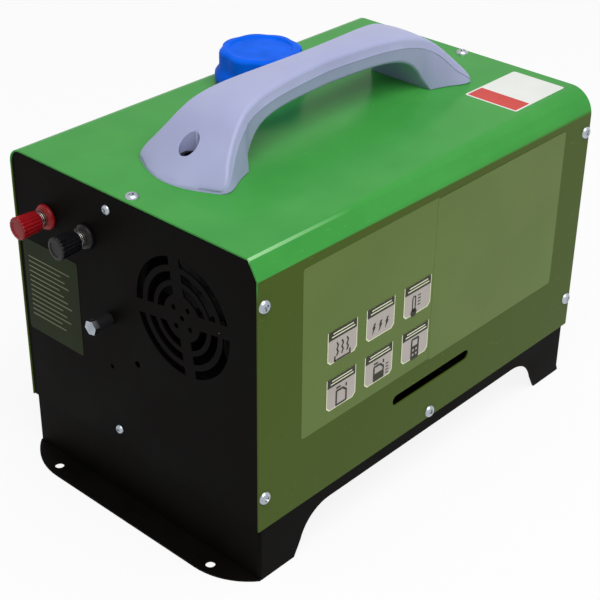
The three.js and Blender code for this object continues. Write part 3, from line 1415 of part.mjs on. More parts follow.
function placeFrontFittings() {
  place('outlet_collar', outletCollar(), BLACK_POWDER_COAT);
  place('control_panel', controlPanel(), BLACK_PLASTIC);
  const button = controlButton();
  ['button_down', 'button_power', 'button_up'].forEach((name, i) => {
    const spot = buttonPlaces()[i];
    place(name, button, BUTTON_PLASTIC).position.set(0, spot.y, spot.z);
  });
  place('mains_inlet', mainsInlet(), BLACK_PLASTIC);
  const rocker = place('rocker_switch', rockerSwitch(), BLACK_PLASTIC);
  rocker.position.set(PANEL_FACE, MAINS_PLACE.y + ROCKER.offset, MAINS_PLACE.z);
}

placeCase();
placeHandle();
placeScrews();
placeFuel();
placeRearFittings();
placeCore();
placeFrontFittings();

export default heater;
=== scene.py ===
"""A portable diesel air heater: a green powder-coated hood on a black base, with a carry handle,
a blue fuel cap, battery posts, an intake grille and a warm-air outlet, dressed over its CAD frame."""

import logging
import math
from dataclasses import dataclass
from enum import Enum
from functools import lru_cache
from typing import Any, Optional, Sequence

import bmesh
import bpy
from mathutils import Matrix, Vector
from mathutils.geometry import interpolate_bezier


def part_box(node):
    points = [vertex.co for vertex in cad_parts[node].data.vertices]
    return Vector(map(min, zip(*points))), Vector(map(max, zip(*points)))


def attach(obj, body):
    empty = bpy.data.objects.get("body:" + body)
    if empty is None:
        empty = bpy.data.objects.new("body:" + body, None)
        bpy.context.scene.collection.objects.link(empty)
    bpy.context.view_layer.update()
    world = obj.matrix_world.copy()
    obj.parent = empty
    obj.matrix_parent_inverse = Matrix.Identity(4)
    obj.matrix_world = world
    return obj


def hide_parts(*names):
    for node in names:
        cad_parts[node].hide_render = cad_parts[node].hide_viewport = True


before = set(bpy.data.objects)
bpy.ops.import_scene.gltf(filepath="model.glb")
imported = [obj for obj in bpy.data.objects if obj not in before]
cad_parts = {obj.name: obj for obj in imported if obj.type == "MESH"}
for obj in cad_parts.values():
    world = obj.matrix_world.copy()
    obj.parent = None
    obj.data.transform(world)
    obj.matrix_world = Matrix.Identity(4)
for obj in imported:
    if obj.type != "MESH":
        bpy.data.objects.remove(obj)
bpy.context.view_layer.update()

Point = tuple[float, float]
Spot = tuple[float, float, float]
BMesh = bmesh.types.BMesh

MM = 0.001  # the frame is in metres and every size here is in millimetres
SEAT = 0.05  # air between a head or a foot and the face it sits on
POLE_JOIN = 1e-4  # closes a spun profile on its axis
CUT_JOIN = 1e-3  # joins the double points that a cut leaves
FLAT_DEGREES = 0.5  # below which a cut's spare edges are dissolved
PANEL_FACE = 183.2  # from the middle to an end panel's outer face

log = logging.getLogger("heater")


# ---------------------------------------------------------------- directions


class Facing(Enum):
    """Which way a fitting looks out of the case: its outward direction."""

    REAR = (-1, 0, 0)
    FRONT = (1, 0, 0)
    NEAR = (0, -1, 0)
    FAR = (0, 1, 0)
    TOP = (0, 0, 1)

    def at(self, x: float, y: float, z: float, turn: float = 0.0) -> Matrix:
        """Give the frame of a fitting, drawn upright in XY with Z pointing out of the case.

        Args:
            x, y, z: where the fitting sits, in millimetres.
            turn: degrees by which it is turned about its own axis.

        Returns:
            The matrix that carries the drawing to its place.
        """
        out = Vector(self.value)
        up = Vector((0, 1, 0)) if self is Facing.TOP else Vector((0, 0, 1))
        axes = Matrix((up.cross(out), up, out)).transposed().to_4x4()
        return Matrix.Translation((x, y, z)) @ axes @ turn_z(turn)


# ---------------------------------------------------------------- drawing solids


def rounded(corners: Sequence[Point], radii: Sequence[float], steps: int = 6) -> list[Point]:
    """Round the corners of an outline with arcs.

    Args:
        corners: the outline's corners in order.
        radii: one radius for each corner, 0 where it stays sharp.
        steps: how many edges each arc has.

    Returns:
        The points of the rounded outline.
    """
    points: list[Point] = []
    count = len(corners)
    for i, radius in enumerate(radii):
        here = Vector(corners[i])
        if radius <= 0:
            points.append(tuple(here))
            continue
        inward = (Vector(corners[i - 1]) - here).normalized()
        onward = (Vector(corners[(i + 1) % count]) - here).normalized()
        turn = math.pi - inward.angle(onward)
        reach = radius * math.tan(turn / 2)
        pull = reach - 4 / 3 * math.tan(turn / 4) * radius  # the handle of a curve that follows an arc
        arc = (here + inward * reach, here + inward * pull, here + onward * pull, here + onward * reach)
        points.extend(tuple(p) for p in interpolate_bezier(*arc, steps + 1))
    return points


def rectangle(width: float, height: float, x: float = 0.0, y: float = 0.0) -> list[Point]:
    """Give the corners of a rectangle about its middle."""
    w, h = width / 2, height / 2
    return [(x - w, y - h), (x + w, y - h), (x + w, y + h), (x - w, y + h)]


def turn_z(degrees: float) -> Matrix:
    """Turn about Z."""
    return Matrix.Rotation(math.radians(degrees), 4, "Z")


def plate(
    corners: Sequence[Point], base: float, top: float, radius: float = 0.0, steps: int = 6
) -> BMesh:
    """Extrude an outline in XY into a plate.

    Args:
        corners: the outline's corners.
        base: Z of the lower face.
        top: Z of the upper face.
        radius: radius of every corner.
        steps: edges of each corner's arc.

    Returns:
        The closed plate.
    """
    bm = bmesh.new()
    outline = rounded(corners, [radius] * len(corners), steps) if radius else corners
    bm.faces.new([bm.verts.new((x, y, base)) for x, y in outline])
    grown = bmesh.ops.extrude_face_region(bm, geom=bm.faces[:])["geom"]
    raised = [v for v in grown if isinstance(v, bmesh.types.BMVert)]
    bmesh.ops.translate(bm, vec=(0, 0, top - base), verts=raised)
    bmesh.ops.recalc_face_normals(bm, faces=bm.faces)
    return bm


def slot(width: float, height: float, x: float = 0.0, y: float = 0.0, steps: int = 10) -> BMesh:
    """Make the solid that cuts a round-ended slot through a sheet.

    Args:
        width: the slot's size along X.
        height: its size along Y.
        x, y: where its middle lies.
        steps: edges of each quarter turn at its ends.

    Returns:
        The closed solid, 6 to either side of the sheet.
    """
    return plate(rectangle(width, height, x, y), -6, 6, min(width, height) / 2 - 0.01, steps)


def turned(profile: Sequence[Point], steps: int = 48) -> BMesh:
    """Spin a profile round Z into a solid.

    Args:
        profile: (radius, height) points, from axis to axis or round a closed ring.
        steps: how many segments the full turn has.

    Returns:
        The closed solid.
    """
    bm = bmesh.new()
    verts = [bm.verts.new((r, 0, z)) for r, z in profile]
    ends = verts[1:] + verts[:1] if profile[0][0] > 0 else verts[1:]
    for pair in zip(verts, ends):
        bm.edges.new(pair)
    bmesh.ops.spin(
        bm, geom=bm.verts[:] + bm.edges[:], axis=(0, 0, 1), cent=(0, 0, 0),
        angle=math.tau, steps=steps, use_merge=True,
    )
    bmesh.ops.remove_doubles(bm, verts=bm.verts, dist=POLE_JOIN)
    bmesh.ops.recalc_face_normals(bm, faces=bm.faces)
    return bm


def tube(bore: float, radius: float, base: float, top: float, steps: int = 48) -> BMesh:
    """Make a plain ring along Z.

    Args:
        bore: its inner radius.
        radius: its outer radius.
        base: Z of its lower end.
        top: Z of its upper end.
        steps: how many sides it has.

    Returns:
        The closed ring.
    """
    return turned([(bore, base), (radius, base), (radius, top), (bore, top)], steps)


def rod(
    radius: float, base: float, top: float, x: float = 0.0, y: float = 0.0, steps: int = 32
) -> BMesh:
    """Make a plain round bar along Z, for holes.

    Args:
        radius: its radius.
        base: Z of its lower end.
        top: Z of its upper end.
        x, y: where its axis stands.
        steps: how many sides it has.

    Returns:
        The closed bar.
    """
    bm = turned([(0, base), (radius, base), (radius, top), (0, top)], steps)
    bmesh.ops.translate(bm, vec=(x, y, 0), verts=bm.verts)
    return bm


def lofted(rings: Sequence[Sequence[Sequence[float]]], strips: bool = False) -> BMesh:
    """Skin a row of closed sections and close its ends.

    Args:
        rings: sections with the same number of points each.
        strips: whether an end is closed by upright strips from its upper points to the lower ones,
            which an end that bulges needs; each section then starts at the top of its middle.

    Returns:
        The closed solid.
    """
    bm = bmesh.new()
    rows = [[bm.verts.new(p) for p in ring] for ring in rings]
    loops = [[bm.edges.new(pair) for pair in zip(row, row[1:] + row[:1])] for row in rows]
    for first, second in zip(loops, loops[1:]):
        bmesh.ops.bridge_loops(bm, edges=first + second)
    for row in (rows[0], rows[-1]):
        if not strips:
            bm.faces.new(row)
            continue
        half = len(row) // 2
        for side in (row[:half + 1], [row[0], *reversed(row[half:])]):
            for k in range(half // 2):
                bm.faces.new(dict.fromkeys((side[k], side[k + 1], side[half - k - 1], side[half - k])))
    bmesh.ops.recalc_face_normals(bm, faces=bm.faces)
    return bm


def tipped(degrees: float, y: float) -> Matrix:
    """Tip about a line across X at the given Y."""
    shift = Matrix.Translation((0, y, 0))
    return shift @ Matrix.Rotation(math.radians(degrees), 4, "X") @ shift.inverted()


def moved(bm: BMesh, matrix: Matrix) -> BMesh:
    """Carry a drawing to its place."""
    bmesh.ops.transform(bm, matrix=matrix, verts=bm.verts)
    return bm


def merged(*parts: BMesh) -> BMesh:
    """Gather several solids into one drawing.

    Args:
        parts: the solids, used up.

    Returns:
        The drawing with all of them.
    """
    whole = bmesh.new()
    for part in parts:
        mesh = bpy.data.meshes.new("part")
        part.to_mesh(mesh)
        part.free()
        whole.from_mesh(mesh)
        bpy.data.meshes.remove(mesh)
    return whole


def as_object(bm: BMesh, name: str) -> bpy.types.Object:
    """Turn a drawing into a scene object.

    Args:
        bm: the drawing, used up.
        name: the object's name.

    Returns:
        The object, linked into the scene.
    """
    mesh = bpy.data.meshes.new(name)
    bm.to_mesh(mesh)
    bm.free()
    obj = bpy.data.objects.new(name, mesh)
    bpy.context.scene.collection.objects.link(obj)
    return obj


def evaluated(blank: bpy.types.Object, *tools: bpy.types.Object) -> BMesh:
    """Read an object's shape with its modifiers applied, and clear away what made it.

    Args:
        blank: the object.
        tools: the objects that its modifiers use.

    Returns:
        The finished shape.
    """
    result = bmesh.new()
    result.from_object(blank, bpy.context.evaluated_depsgraph_get())
    for obj in (blank, *tools):
        mesh = obj.data
        bpy.data.objects.remove(obj)
        bpy.data.meshes.remove(mesh)
    return result


def carved(bm: BMesh, *cutters: BMesh, wall: float = 0.0) -> BMesh:
    """Give a drawing its wall and cut other solids out of it.

    Args:
        bm: the solid, or an open skin where a wall is given; used up.
        cutters: what is taken away; used up.
        wall: thickness that an open skin gets on its inner side.

    Returns:
        The cut solid.
    """
    blank = as_object(bm, "blank")
    tools = [as_object(cutter, "cutter") for cutter in cutters]
    if wall:
        skin = blank.modifiers.new("wall", "SOLIDIFY")
        skin.thickness = wall
        skin.offset = -1
        skin.use_even_offset = True
    for tool in tools:
        hole = blank.modifiers.new("hole", "BOOLEAN")
        hole.object = tool
        hole.operation = "DIFFERENCE"
        hole.solver = "EXACT"
    result = evaluated(blank, *tools)
    bmesh.ops.remove_doubles(result, verts=result.verts, dist=CUT_JOIN)
    bmesh.ops.dissolve_limit(
        result, angle_limit=math.radians(FLAT_DEGREES), verts=result.verts, edges=result.edges
    )
    return result


def common(first: BMesh, second: BMesh) -> BMesh:
    """Keep what two solids share.

    Args:
        first: one solid, used up.
        second: the other solid, used up.

    Returns:
        The shared solid.
    """
    blank, tool = as_object(first, "blank"), as_object(second, "cutter")
    share = blank.modifiers.new("common", "BOOLEAN")
    share.object = tool
    share.operation = "INTERSECT"
    return evaluated(blank, tool)


# ---------------------------------------------------------------- finishes


def linear(code: str) -> tuple[float, float, float, float]:
    """Turn an sRGB hex colour into linear light.

    Args:
        code: the colour, as "#RRGGBB".

    Returns:
        Its red, green and blue in linear light, and an alpha of 1.
    """
    levels = [int(code[i:i + 2], 16) / 255 for i in (1, 3, 5)]
    bent = [c / 12.92 if c <= 0.04045 else ((c + 0.055) / 1.055) ** 2.4 for c in levels]
    return (bent[0], bent[1], bent[2], 1.0)


def add_node(
    tree: bpy.types.NodeTree, kind: str, sockets: Optional[dict[Any, Any]] = None, **settings: Any
) -> Any:
    """Add a node with its settings, its values and its links.

    Args:
        tree: the node tree.
        kind: the node's type name.
        sockets: for each input, by name or number, a value or the output that feeds it. A map range
            has its value at 0, the span it comes from at 1 and 2 and the span it goes to at 3 and 4;
            a mix of colours has its share at 0 and its colours at 6 and 7.
        settings: the node's own properties.

    Returns:
        The new node.
    """
    node = tree.nodes.new(kind)
    for name, value in settings.items():
        setattr(node, name, value)
    for key, value in (sockets or {}).items():
        if isinstance(value, bpy.types.NodeSocket):
            tree.links.new(value, node.inputs[key])
        else:
            node.inputs[key].default_value = value
    return node


@dataclass(frozen=True)
class Layers:
    """The outputs that a finish's steps hand on to each other.

    Attributes:
        place: where on the piece a point lies.
        colour: the colour so far.
        roughness: the roughness so far.
        height: the fine relief so far.
    """

    place: Any
    colour: Any
    roughness: Any
    height: Any


@dataclass(frozen=True)
class Finish:
    """A surface: what it is made of and how it was made.

    Attributes:
        name: the real material.
        slot: the name of a material slot that it stands for; not used.
        colour: its clean colour.
        drift: the colour that soft patches lean towards.
        roughness: how blurred its reflections are.
        spread: how far the roughness wanders.
        patch_mm: size of the soft patches.
        grain_mm: size of the finest relief.
        depth_mm: height of that relief.
        metallic: 1 for bare metal.
        specular: strength of the mirror part on a non-metal, 0.5 for a plain plastic.
        coat: strength of a clear gloss over it.
        coat_roughness: how blurred the reflections in that gloss are.
        worn: the colour that shows where edges are rubbed.
        wear: how strongly it shows.
    """

    name: str
    slot: str
    colour: str
    drift: str
    roughness: float
    spread: float = 0.05
    patch_mm: float = 45.0
    grain_mm: float = 1.0
    depth_mm: float = 0.01
    metallic: float = 0.0
    specular: float = 0.5
    coat: float = 0.0
    coat_roughness: float = 0.06
    worn: str = "#8C8C8C"
    wear: float = 0.15

    def marks(self, tree: bpy.types.NodeTree, layers: Layers) -> Layers:
        """Add what only this kind of surface shows; a plain one adds nothing."""
        return layers

    def rubbed(self, tree: bpy.types.NodeTree, colour: Any) -> Any:
        """Let the worn colour through on rubbed edges.

        Args:
            tree: the material's tree.
            colour: the colour so far.

        Returns:
            The colour with its wear.
        """
        edge = add_node(tree, "ShaderNodeNewGeometry").outputs["Pointiness"]
        sockets = {0: edge, 1: 0.53, 2: 0.62, 3: 0.0, 4: self.wear}
        share = add_node(tree, "ShaderNodeMapRange", sockets).outputs[0]
        sockets = {0: share, 6: colour, 7: linear(self.worn)}
        return add_node(tree, "ShaderNodeMix", sockets, data_type="RGBA").outputs[2]

    def build(self) -> bpy.types.Material:
        """Build the node material.

        Returns:
            The material, with colour, roughness and relief from its nodes.
        """
        material = bpy.data.materials.new(self.name)
        material.use_nodes = True
        tree = material.node_tree
        shader = tree.nodes["Principled BSDF"]
        place = add_node(tree, "ShaderNodeTexCoord").outputs["Object"]
        sockets = {"Vector": place, "Scale": 1 / (self.patch_mm * MM), "Detail": 3.0}
        patches = add_node(tree, "ShaderNodeTexNoise", sockets).outputs[0]
        sockets = {"Vector": place, "Scale": 1 / (self.grain_mm * MM), "Detail": 2.0}
        grain = add_node(tree, "ShaderNodeTexNoise", sockets).outputs[0]
        sockets = {0: patches, 1: 0.35, 2: 0.68, 3: 0.0, 4: 1.0}
        drift = add_node(tree, "ShaderNodeMapRange", sockets).outputs[0]
        sockets = {0: drift, 6: linear(self.colour), 7: linear(self.drift)}
        colour = add_node(tree, "ShaderNodeMix", sockets, data_type="RGBA").outputs[2]
        low, high = self.roughness - self.spread, self.roughness + self.spread
        sockets = {0: patches, 1: 0.3, 2: 0.7, 3: low, 4: high}
        roughness = add_node(tree, "ShaderNodeMapRange", sockets).outputs[0]
        layers = self.marks(tree, Layers(place, colour, roughness, grain))
        tree.links.new(self.rubbed(tree, layers.colour), shader.inputs["Base Color"])
        tree.links.new(layers.roughness, shader.inputs["Roughness"])
        sockets = {"Height": layers.height, "Distance": self.depth_mm * MM, "Strength": 1.0}
        relief = add_node(tree, "ShaderNodeBump", sockets)
        tree.links.new(relief.outputs[0], shader.inputs["Normal"])
        shader.inputs["Metallic"].default_value = self.metallic
        shader.inputs["Coat Weight"].default_value = self.coat
        shader.inputs["Coat Roughness"].default_value = self.coat_roughness
        if not self.metallic:
            shader.inputs["Specular IOR Level"].default_value = self.specular
        self.tune(shader)
        return material

    def tune(self, shader: bpy.types.ShaderNode) -> None:
        """Set what only this kind of surface needs on the shader; a plain one needs nothing."""


@dataclass(frozen=True)
class FlatSheet(Finish):
    """A surface on wide flat sheets, whose wear is faint scuffs rather than rubbed edges.

    Attributes:
        scuff_mm: length of a scuff.
        scuff_stretch: width of a scuff as a share of its length.
        scuff_tilt: turns about X, Y and Z that set the scuffs askew, in radians.
    """

    scuff_mm: float = 9.0
    scuff_stretch: float = 0.12
    scuff_tilt: Spot = (0.5, 0.4, 0.3)

    def rubbed(self, tree: bpy.types.NodeTree, colour: Any) -> Any:
        """Let the worn colour through in a few faint scuffs.

        Args:
            tree: the material's tree.
            colour: the colour so far.

        Returns:
            The colour with its scuffs.
        """
        place = add_node(tree, "ShaderNodeTexCoord").outputs["Object"]
        sockets = {"Vector": place, "Rotation": self.scuff_tilt, "Scale": (self.scuff_stretch, 1.0, 1.0)}
        slanted = add_node(tree, "ShaderNodeMapping", sockets)
        scale = 8 / (self.scuff_mm * MM)
        sockets = {"Vector": slanted.outputs[0], "Scale": scale, "Detail": 2.0}
        streaks = add_node(tree, "ShaderNodeTexNoise", sockets).outputs[0]
        sockets = {0: streaks, 1: 0.7, 2: 0.8, 3: 0.0, 4: self.wear}
        share = add_node(tree, "ShaderNodeMapRange", sockets).outputs[0]
        sockets = {0: share, 6: colour, 7: linear(self.worn)}
        return add_node(tree, "ShaderNodeMix", sockets, data_type="RGBA").outputs[2]


@dataclass(frozen=True)
class PowderCoat(FlatSheet):
    """Baked powder coat: orange peel a few millimetres wide, a few pale specks of dust, and painted shade
    where one is set.

    Attributes:
        shade: painted shade, the darker colour of its upright and low faces as a room's floor and walls
            light them; empty for none.
        peel_mm: width of the orange peel's waves.
        specks: how many of the cells hold a speck, 0 to 1.
        speck_cell_mm: distance between possible specks.
        speck_mm: radius of a speck.
        speck_colour: the colour of the dust.
        shade_facing: sideways lean of a face's normal at which the painted shade starts and at which it is
            full.
        shade_height: Z in metres below which the painted shade is full and above which it needs that lean.
    """

    shade: str = ""
    peel_mm: float = 2.6
    specks: float = 0.4
    speck_cell_mm: float = 14.0
    speck_mm: float = 0.28  # drawn a little larger than real dust, so that it shows
    speck_colour: str = "#C9D2C4"
    shade_facing: Point = (0.97, 0.998)
    shade_height: Point = (0.225, 0.235)

    def marks(self, tree: bpy.types.NodeTree, layers: Layers) -> Layers:
        """Add orange peel, specks and painted shade.

        Args:
            tree: the material's tree.
            layers: what the plain finish has so far.

        Returns:
            The layers with peel in the height, and specks and painted shade in the colour.
        """
        sockets = {"Vector": layers.place, "Scale": 1 / (self.peel_mm * MM), "Detail": 1.0}
        peel = add_node(tree, "ShaderNodeTexNoise", sockets).outputs[0]
        sockets = {0: peel, 1: layers.height}
        height = add_node(tree, "ShaderNodeMath", sockets, operation="ADD").outputs[0]
        sockets = {"Vector": layers.place, "Scale": 1 / (self.speck_cell_mm * MM)}
        cells = add_node(tree, "ShaderNodeTexVoronoi", sockets)
        size = self.speck_mm / self.speck_cell_mm
        sockets = {0: cells.outputs["Distance"], 1: size * 0.6, 2: size, 3: 1.0, 4: 0.0}
        near = add_node(tree, "ShaderNodeMapRange", sockets).outputs[0]
        limit = 1 - self.specks
        sockets = {0: cells.outputs["Color"], 1: limit, 2: limit + 0.01, 3: 0.0, 4: 1.0}
        chosen = add_node(tree, "ShaderNodeMapRange", sockets).outputs[0]
        speck = add_node(tree, "ShaderNodeMath", {0: near, 1: chosen}, operation="MULTIPLY").outputs[0]
        sockets = {0: speck, 6: self.shaded(tree, layers.colour), 7: linear(self.speck_colour)}
        colour = add_node(tree, "ShaderNodeMix", sockets, data_type="RGBA").outputs[2]
        return Layers(layers.place, colour, layers.roughness, height)

    def shaded(self, tree: bpy.types.NodeTree, colour: Any) -> Any:
        """Paint shade: blend the upright and low faces towards the painted shade colour.

        Args:
            tree: the material's tree.
            colour: the colour so far.

        Returns:
            The colour with its painted shade, or the same one where none is set.
        """
        if not self.shade:
            return colour
        # painted shade: full on faces that look along Y and on everything below shade_height
        facing = add_node(tree, "ShaderNodeNewGeometry").outputs["Normal"]
        across = add_node(tree, "ShaderNodeSeparateXYZ", {0: facing}).outputs[1]
        sideways = add_node(tree, "ShaderNodeMath", {0: across}, operation="ABSOLUTE").outputs[0]
        start, full = self.shade_facing
        sockets = {0: sideways, 1: start, 2: full, 3: 0.0, 4: 1.0}
        upright = add_node(tree, "ShaderNodeMapRange", sockets).outputs[0]
        place = add_node(tree, "ShaderNodeTexCoord").outputs["Object"]
        height = add_node(tree, "ShaderNodeSeparateXYZ", {0: place}).outputs[2]
        full, end = self.shade_height
        sockets = {0: height, 1: full, 2: end, 3: 1.0, 4: 0.0}
        low = add_node(tree, "ShaderNodeMapRange", sockets).outputs[0]
        share = add_node(tree, "ShaderNodeMath", {0: upright, 1: low}, operation="MAXIMUM").outputs[0]
        sockets = {0: share, 6: colour, 7: linear(self.shade)}
        return add_node(tree, "ShaderNodeMix", sockets, data_type="RGBA").outputs[2]


@dataclass(frozen=True)
class FoldedCoat(PowderCoat):
    """Powder coat on a folded sheet, with a painted highlight: a pale line along one sharp fold, where the
    bend catches the light.

    Attributes:
        fold_y: Y of the fold, in millimetres.
        fold_width: width of the pale line.
        fold_ends: X where the line is strongest and where it has faded out.
        fold_height: Z in metres between which the line comes in.
        fold_highlight_colour: the colour of the painted highlight along the fold.
        fold_highlight_strength: how strongly the painted highlight shows at its strongest.
    """

    fold_y: float = -112.1
    fold_width: float = 0.9
    fold_ends: Point = (-184.0, -90.0)
    fold_height: Point = (0.245, 0.25)
    fold_highlight_colour: str = "#A6DCA2"
    fold_highlight_strength: float = 0.75

    def rubbed(self, tree: bpy.types.NodeTree, colour: Any) -> Any:
        """Add the painted highlight, a pale line along the fold, to the scuffs.

        Args:
            tree: the material's tree.
            colour: the colour so far.

        Returns:
            The colour with its scuffs and the painted highlight.
        """
        scuffed = super().rubbed(tree, colour)
        place = add_node(tree, "ShaderNodeTexCoord").outputs["Object"]
        x, y, z = add_node(tree, "ShaderNodeSeparateXYZ", {0: place}).outputs
        # painted highlight: a pale line on the fold, fading out towards the front and kept to the top edge
        sockets = {0: y, 1: self.fold_y * MM, 2: self.fold_width * MM}
        on_line = add_node(tree, "ShaderNodeMath", sockets, operation="COMPARE").outputs[0]
        start, full = self.fold_height
        sockets = {0: z, 1: start, 2: full, 3: 0.0, 4: 1.0}
        high = add_node(tree, "ShaderNodeMapRange", sockets).outputs[0]
        start, faded = self.fold_ends
        sockets = {0: x, 1: start * MM, 2: faded * MM, 3: self.fold_highlight_strength, 4: 0.0}
        near = add_node(tree, "ShaderNodeMapRange", sockets).outputs[0]
        share = add_node(tree, "ShaderNodeMath", {0: on_line, 1: near}, operation="MULTIPLY").outputs[0]
        share = add_node(tree, "ShaderNodeMath", {0: share, 1: high}, operation="MULTIPLY").outputs[0]
        sockets = {0: share, 6: scuffed, 7: linear(self.fold_highlight_colour)}
        return add_node(tree, "ShaderNodeMix", sockets, data_type="RGBA").outputs[2]


@dataclass(frozen=True)
class BrushedMetal(Finish):
    """Rolled or plated metal with straight fine lines along X.

    Attributes:
        line_mm: width of a line.
    """

    line_mm: float = 0.5  # real lines are finer; drawn as coarse as they need to show

    def marks(self, tree: bpy.types.NodeTree, layers: Layers) -> Layers:
        """Stretch a fine noise along X into rolling lines.

        Args:
            tree: the material's tree.
            layers: what the plain finish has so far.

        Returns:
            The layers with lines in the height and in the roughness.
        """
        sockets = {"Vector": layers.place, "Scale": (0.03, 1.0, 1.0)}
        squeeze = add_node(tree, "ShaderNodeMapping", sockets)
        sockets = {"Vector": squeeze.outputs[0], "Scale": 1 / (self.line_mm * MM), "Detail": 2.0}
        lines = add_node(tree, "ShaderNodeTexNoise", sockets).outputs[0]
        low, high = self.roughness - self.spread, self.roughness + self.spread
        sockets = {0: lines, 1: 0.3, 2: 0.7, 3: low, 4: high}
        roughness = add_node(tree, "ShaderNodeMapRange", sockets).outputs[0]
        return Layers(layers.place, layers.colour, roughness, lines)


@dataclass(frozen=True)
class ClearPlastic(Finish):
    """A plastic that light passes into, such as natural polyethylene.

    Attributes:
        inside: share of the light that scatters below the surface.
        depth: how far it goes in, in millimetres.
    """

    inside: float = 0.2
    depth: float = 3.0

    def tune(self, shader: bpy.types.ShaderNode) -> None:
        """Let light scatter below the surface."""
        shader.inputs["Subsurface Weight"].default_value = self.inside
        shader.inputs["Subsurface Scale"].default_value = self.depth * MM


@dataclass(frozen=True)
class LitSegments(Finish):
    """The lit strokes of a display.

    Attributes:
        glow: how strongly they shine.
    """

    glow: float = 0.6

    def tune(self, shader: bpy.types.ShaderNode) -> None:
        """Make the strokes shine by themselves."""
        shader.inputs["Emission Color"].default_value = linear(self.colour)
        shader.inputs["Emission Strength"].default_value = self.glow


def printed(ink: str, colour: str, drift: str, roughness: float = 0.35, specular: float = 0.15) -> FlatSheet:
    """Give the finish of an ink printed on vinyl under a satin laminate.

    Args:
        ink: the print's name.
        colour: its colour.
        drift: the colour that soft patches lean towards.
        roughness: how blurred its reflections are.
        specular: strength of its mirror part.

    Returns:
        The finish.
    """
    return FlatSheet(
        ink, "label_print", colour, drift, roughness, grain_mm=1.5, depth_mm=0.004, specular=specular
    )


# gloss green powder coat on sheet steel: a clear even green with soft mirror images in it
# its shade colour is painted shade on upright and low faces, and its pale fold line is a painted highlight
# along the near top fold at the rear
GREEN_COAT = FoldedCoat(
    "gloss green powder coat", "green_powder_coat", "#429A44", "#3C9340", 0.2, spread=0.04,
    grain_mm=0.9, depth_mm=0.006, specular=0.06, worn="#7FC27A", wear=0.25, shade="#46591B",
)
# fine-texture black powder coat: a dull near-black with a faint brown warmth
BLACK_COAT = PowderCoat(
    "fine-texture black powder coat", "black_powder_coat", "#080706", "#0D0A09", 0.55, spread=0.07,
    grain_mm=0.8, depth_mm=0.03, specular=0.03, peel_mm=1.4, specks=0.12, worn="#4A4440", wear=0.2,
)
# bright zinc plating on pressed steel: pale and clean, a little cloudy
ZINC = Finish(
    "bright zinc plate on steel", "zinc_steel", "#B4B9BF", "#99A1AA", 0.26, spread=0.08, patch_mm=6,
    grain_mm=0.5, depth_mm=0.004, metallic=1.0, worn="#F0F0F0", wear=0.4,
)
# black-oxide steel: the dark oiled skin of socket bolts
BLACKENED = Finish(
    "black-oxide steel", "zinc_steel", "#2A2B30", "#35363C", 0.42, spread=0.08, patch_mm=5,
    grain_mm=0.4, depth_mm=0.004, metallic=1.0, worn="#6A6B70", wear=0.3,
)
# injection-moulded nylon: an even lavender grey with a fine spark-eroded grain
# its pale worn colour on convex edges is partly rubbed wear and partly painted highlight, as on the parting
# bead
NYLON = Finish(
    "moulded grey nylon", "grey_plastic", "#9FA3C8", "#A6ABCD", 0.42, grain_mm=0.45, depth_mm=0.012,
    specular=0.35, worn="#C6CAE2", wear=0.35,
)
# injection-moulded polypropylene: strong blue with a waxy gloss
BLUE_CAP = Finish(
    "moulded blue polypropylene", "blue_plastic", "#0563EE", "#055ADB", 0.42, grain_mm=0.5,
    depth_mm=0.008, specular=0.03, patch_mm=18, worn="#3B86F0", wear=0.4,
)
# phenolic knobs: hard and glossy, with ribs that catch the light
RED_PHENOLIC = Finish(
    "moulded red phenolic", "red_plastic", "#8E141A", "#7E1016", 0.24, grain_mm=0.4, depth_mm=0.006,
    patch_mm=8, specular=0.2, worn="#B83038", wear=0.2,
)
BLACK_PHENOLIC = Finish(
    "moulded black phenolic", "black_plastic", "#0E0E10", "#141417", 0.24, grain_mm=0.4,
    depth_mm=0.006, patch_mm=8, specular=0.18, worn="#4A4A50", wear=0.06,
)
# glass-filled black nylon: the dull skin of fan housings and ducts
BLACK_NYLON = Finish(
    "moulded black nylon", "black_plastic", "#151517", "#1B1B1D", 0.5, grain_mm=0.6, depth_mm=0.02,
    specular=0.15, worn="#4A4A4C", wear=0.2,
)
# nitrile rubber: matt, almost without highlights
RUBBER = Finish(
    "moulded nitrile rubber", "rubber", "#171717", "#1F1E1D", 0.8, grain_mm=0.7, depth_mm=0.02,
    specular=0.3, worn="#333333", wear=0.2,
)
# blow-moulded natural polyethylene: milky, with light passing into it
POLYETHYLENE = ClearPlastic(
    "blow-moulded natural polyethylene", "natural_plastic", "#DADCCF", "#CFD2C2", 0.42, spread=0.06,
    patch_mm=60, grain_mm=2.0, depth_mm=0.03, worn="#ECEDE6",
)
# die-cast aluminium: grey, slightly pitted
CAST_ALUMINIUM = Finish(
    "die-cast aluminium", "aluminium", "#A4A8AC", "#8F9398", 0.45, spread=0.1, patch_mm=12,
    grain_mm=0.8, depth_mm=0.04, metallic=1.0, worn="#D8DADC", wear=0.3,
)
# rolled stainless steel: straight fine lines
STAINLESS = BrushedMetal(
    "rolled stainless steel", "stainless", "#B9B8B2", "#A9A69E", 0.32, spread=0.08, grain_mm=0.5,
    depth_mm=0.006, metallic=1.0, worn="#E0E0DC", wear=0.3,
)
# clear-laminated vinyl film, tinted like the paint under it but a little yellower; its dark olive is partly
# the film's own tint and partly painted shade
FILM = FlatSheet(
    "laminated green vinyl film", "label_film", "#596F2F", "#5F7434", 0.24, spread=0.04, patch_mm=90,
    grain_mm=16.0, depth_mm=0.05, specular=0.14, worn="#8FA775", wear=0.15,
)
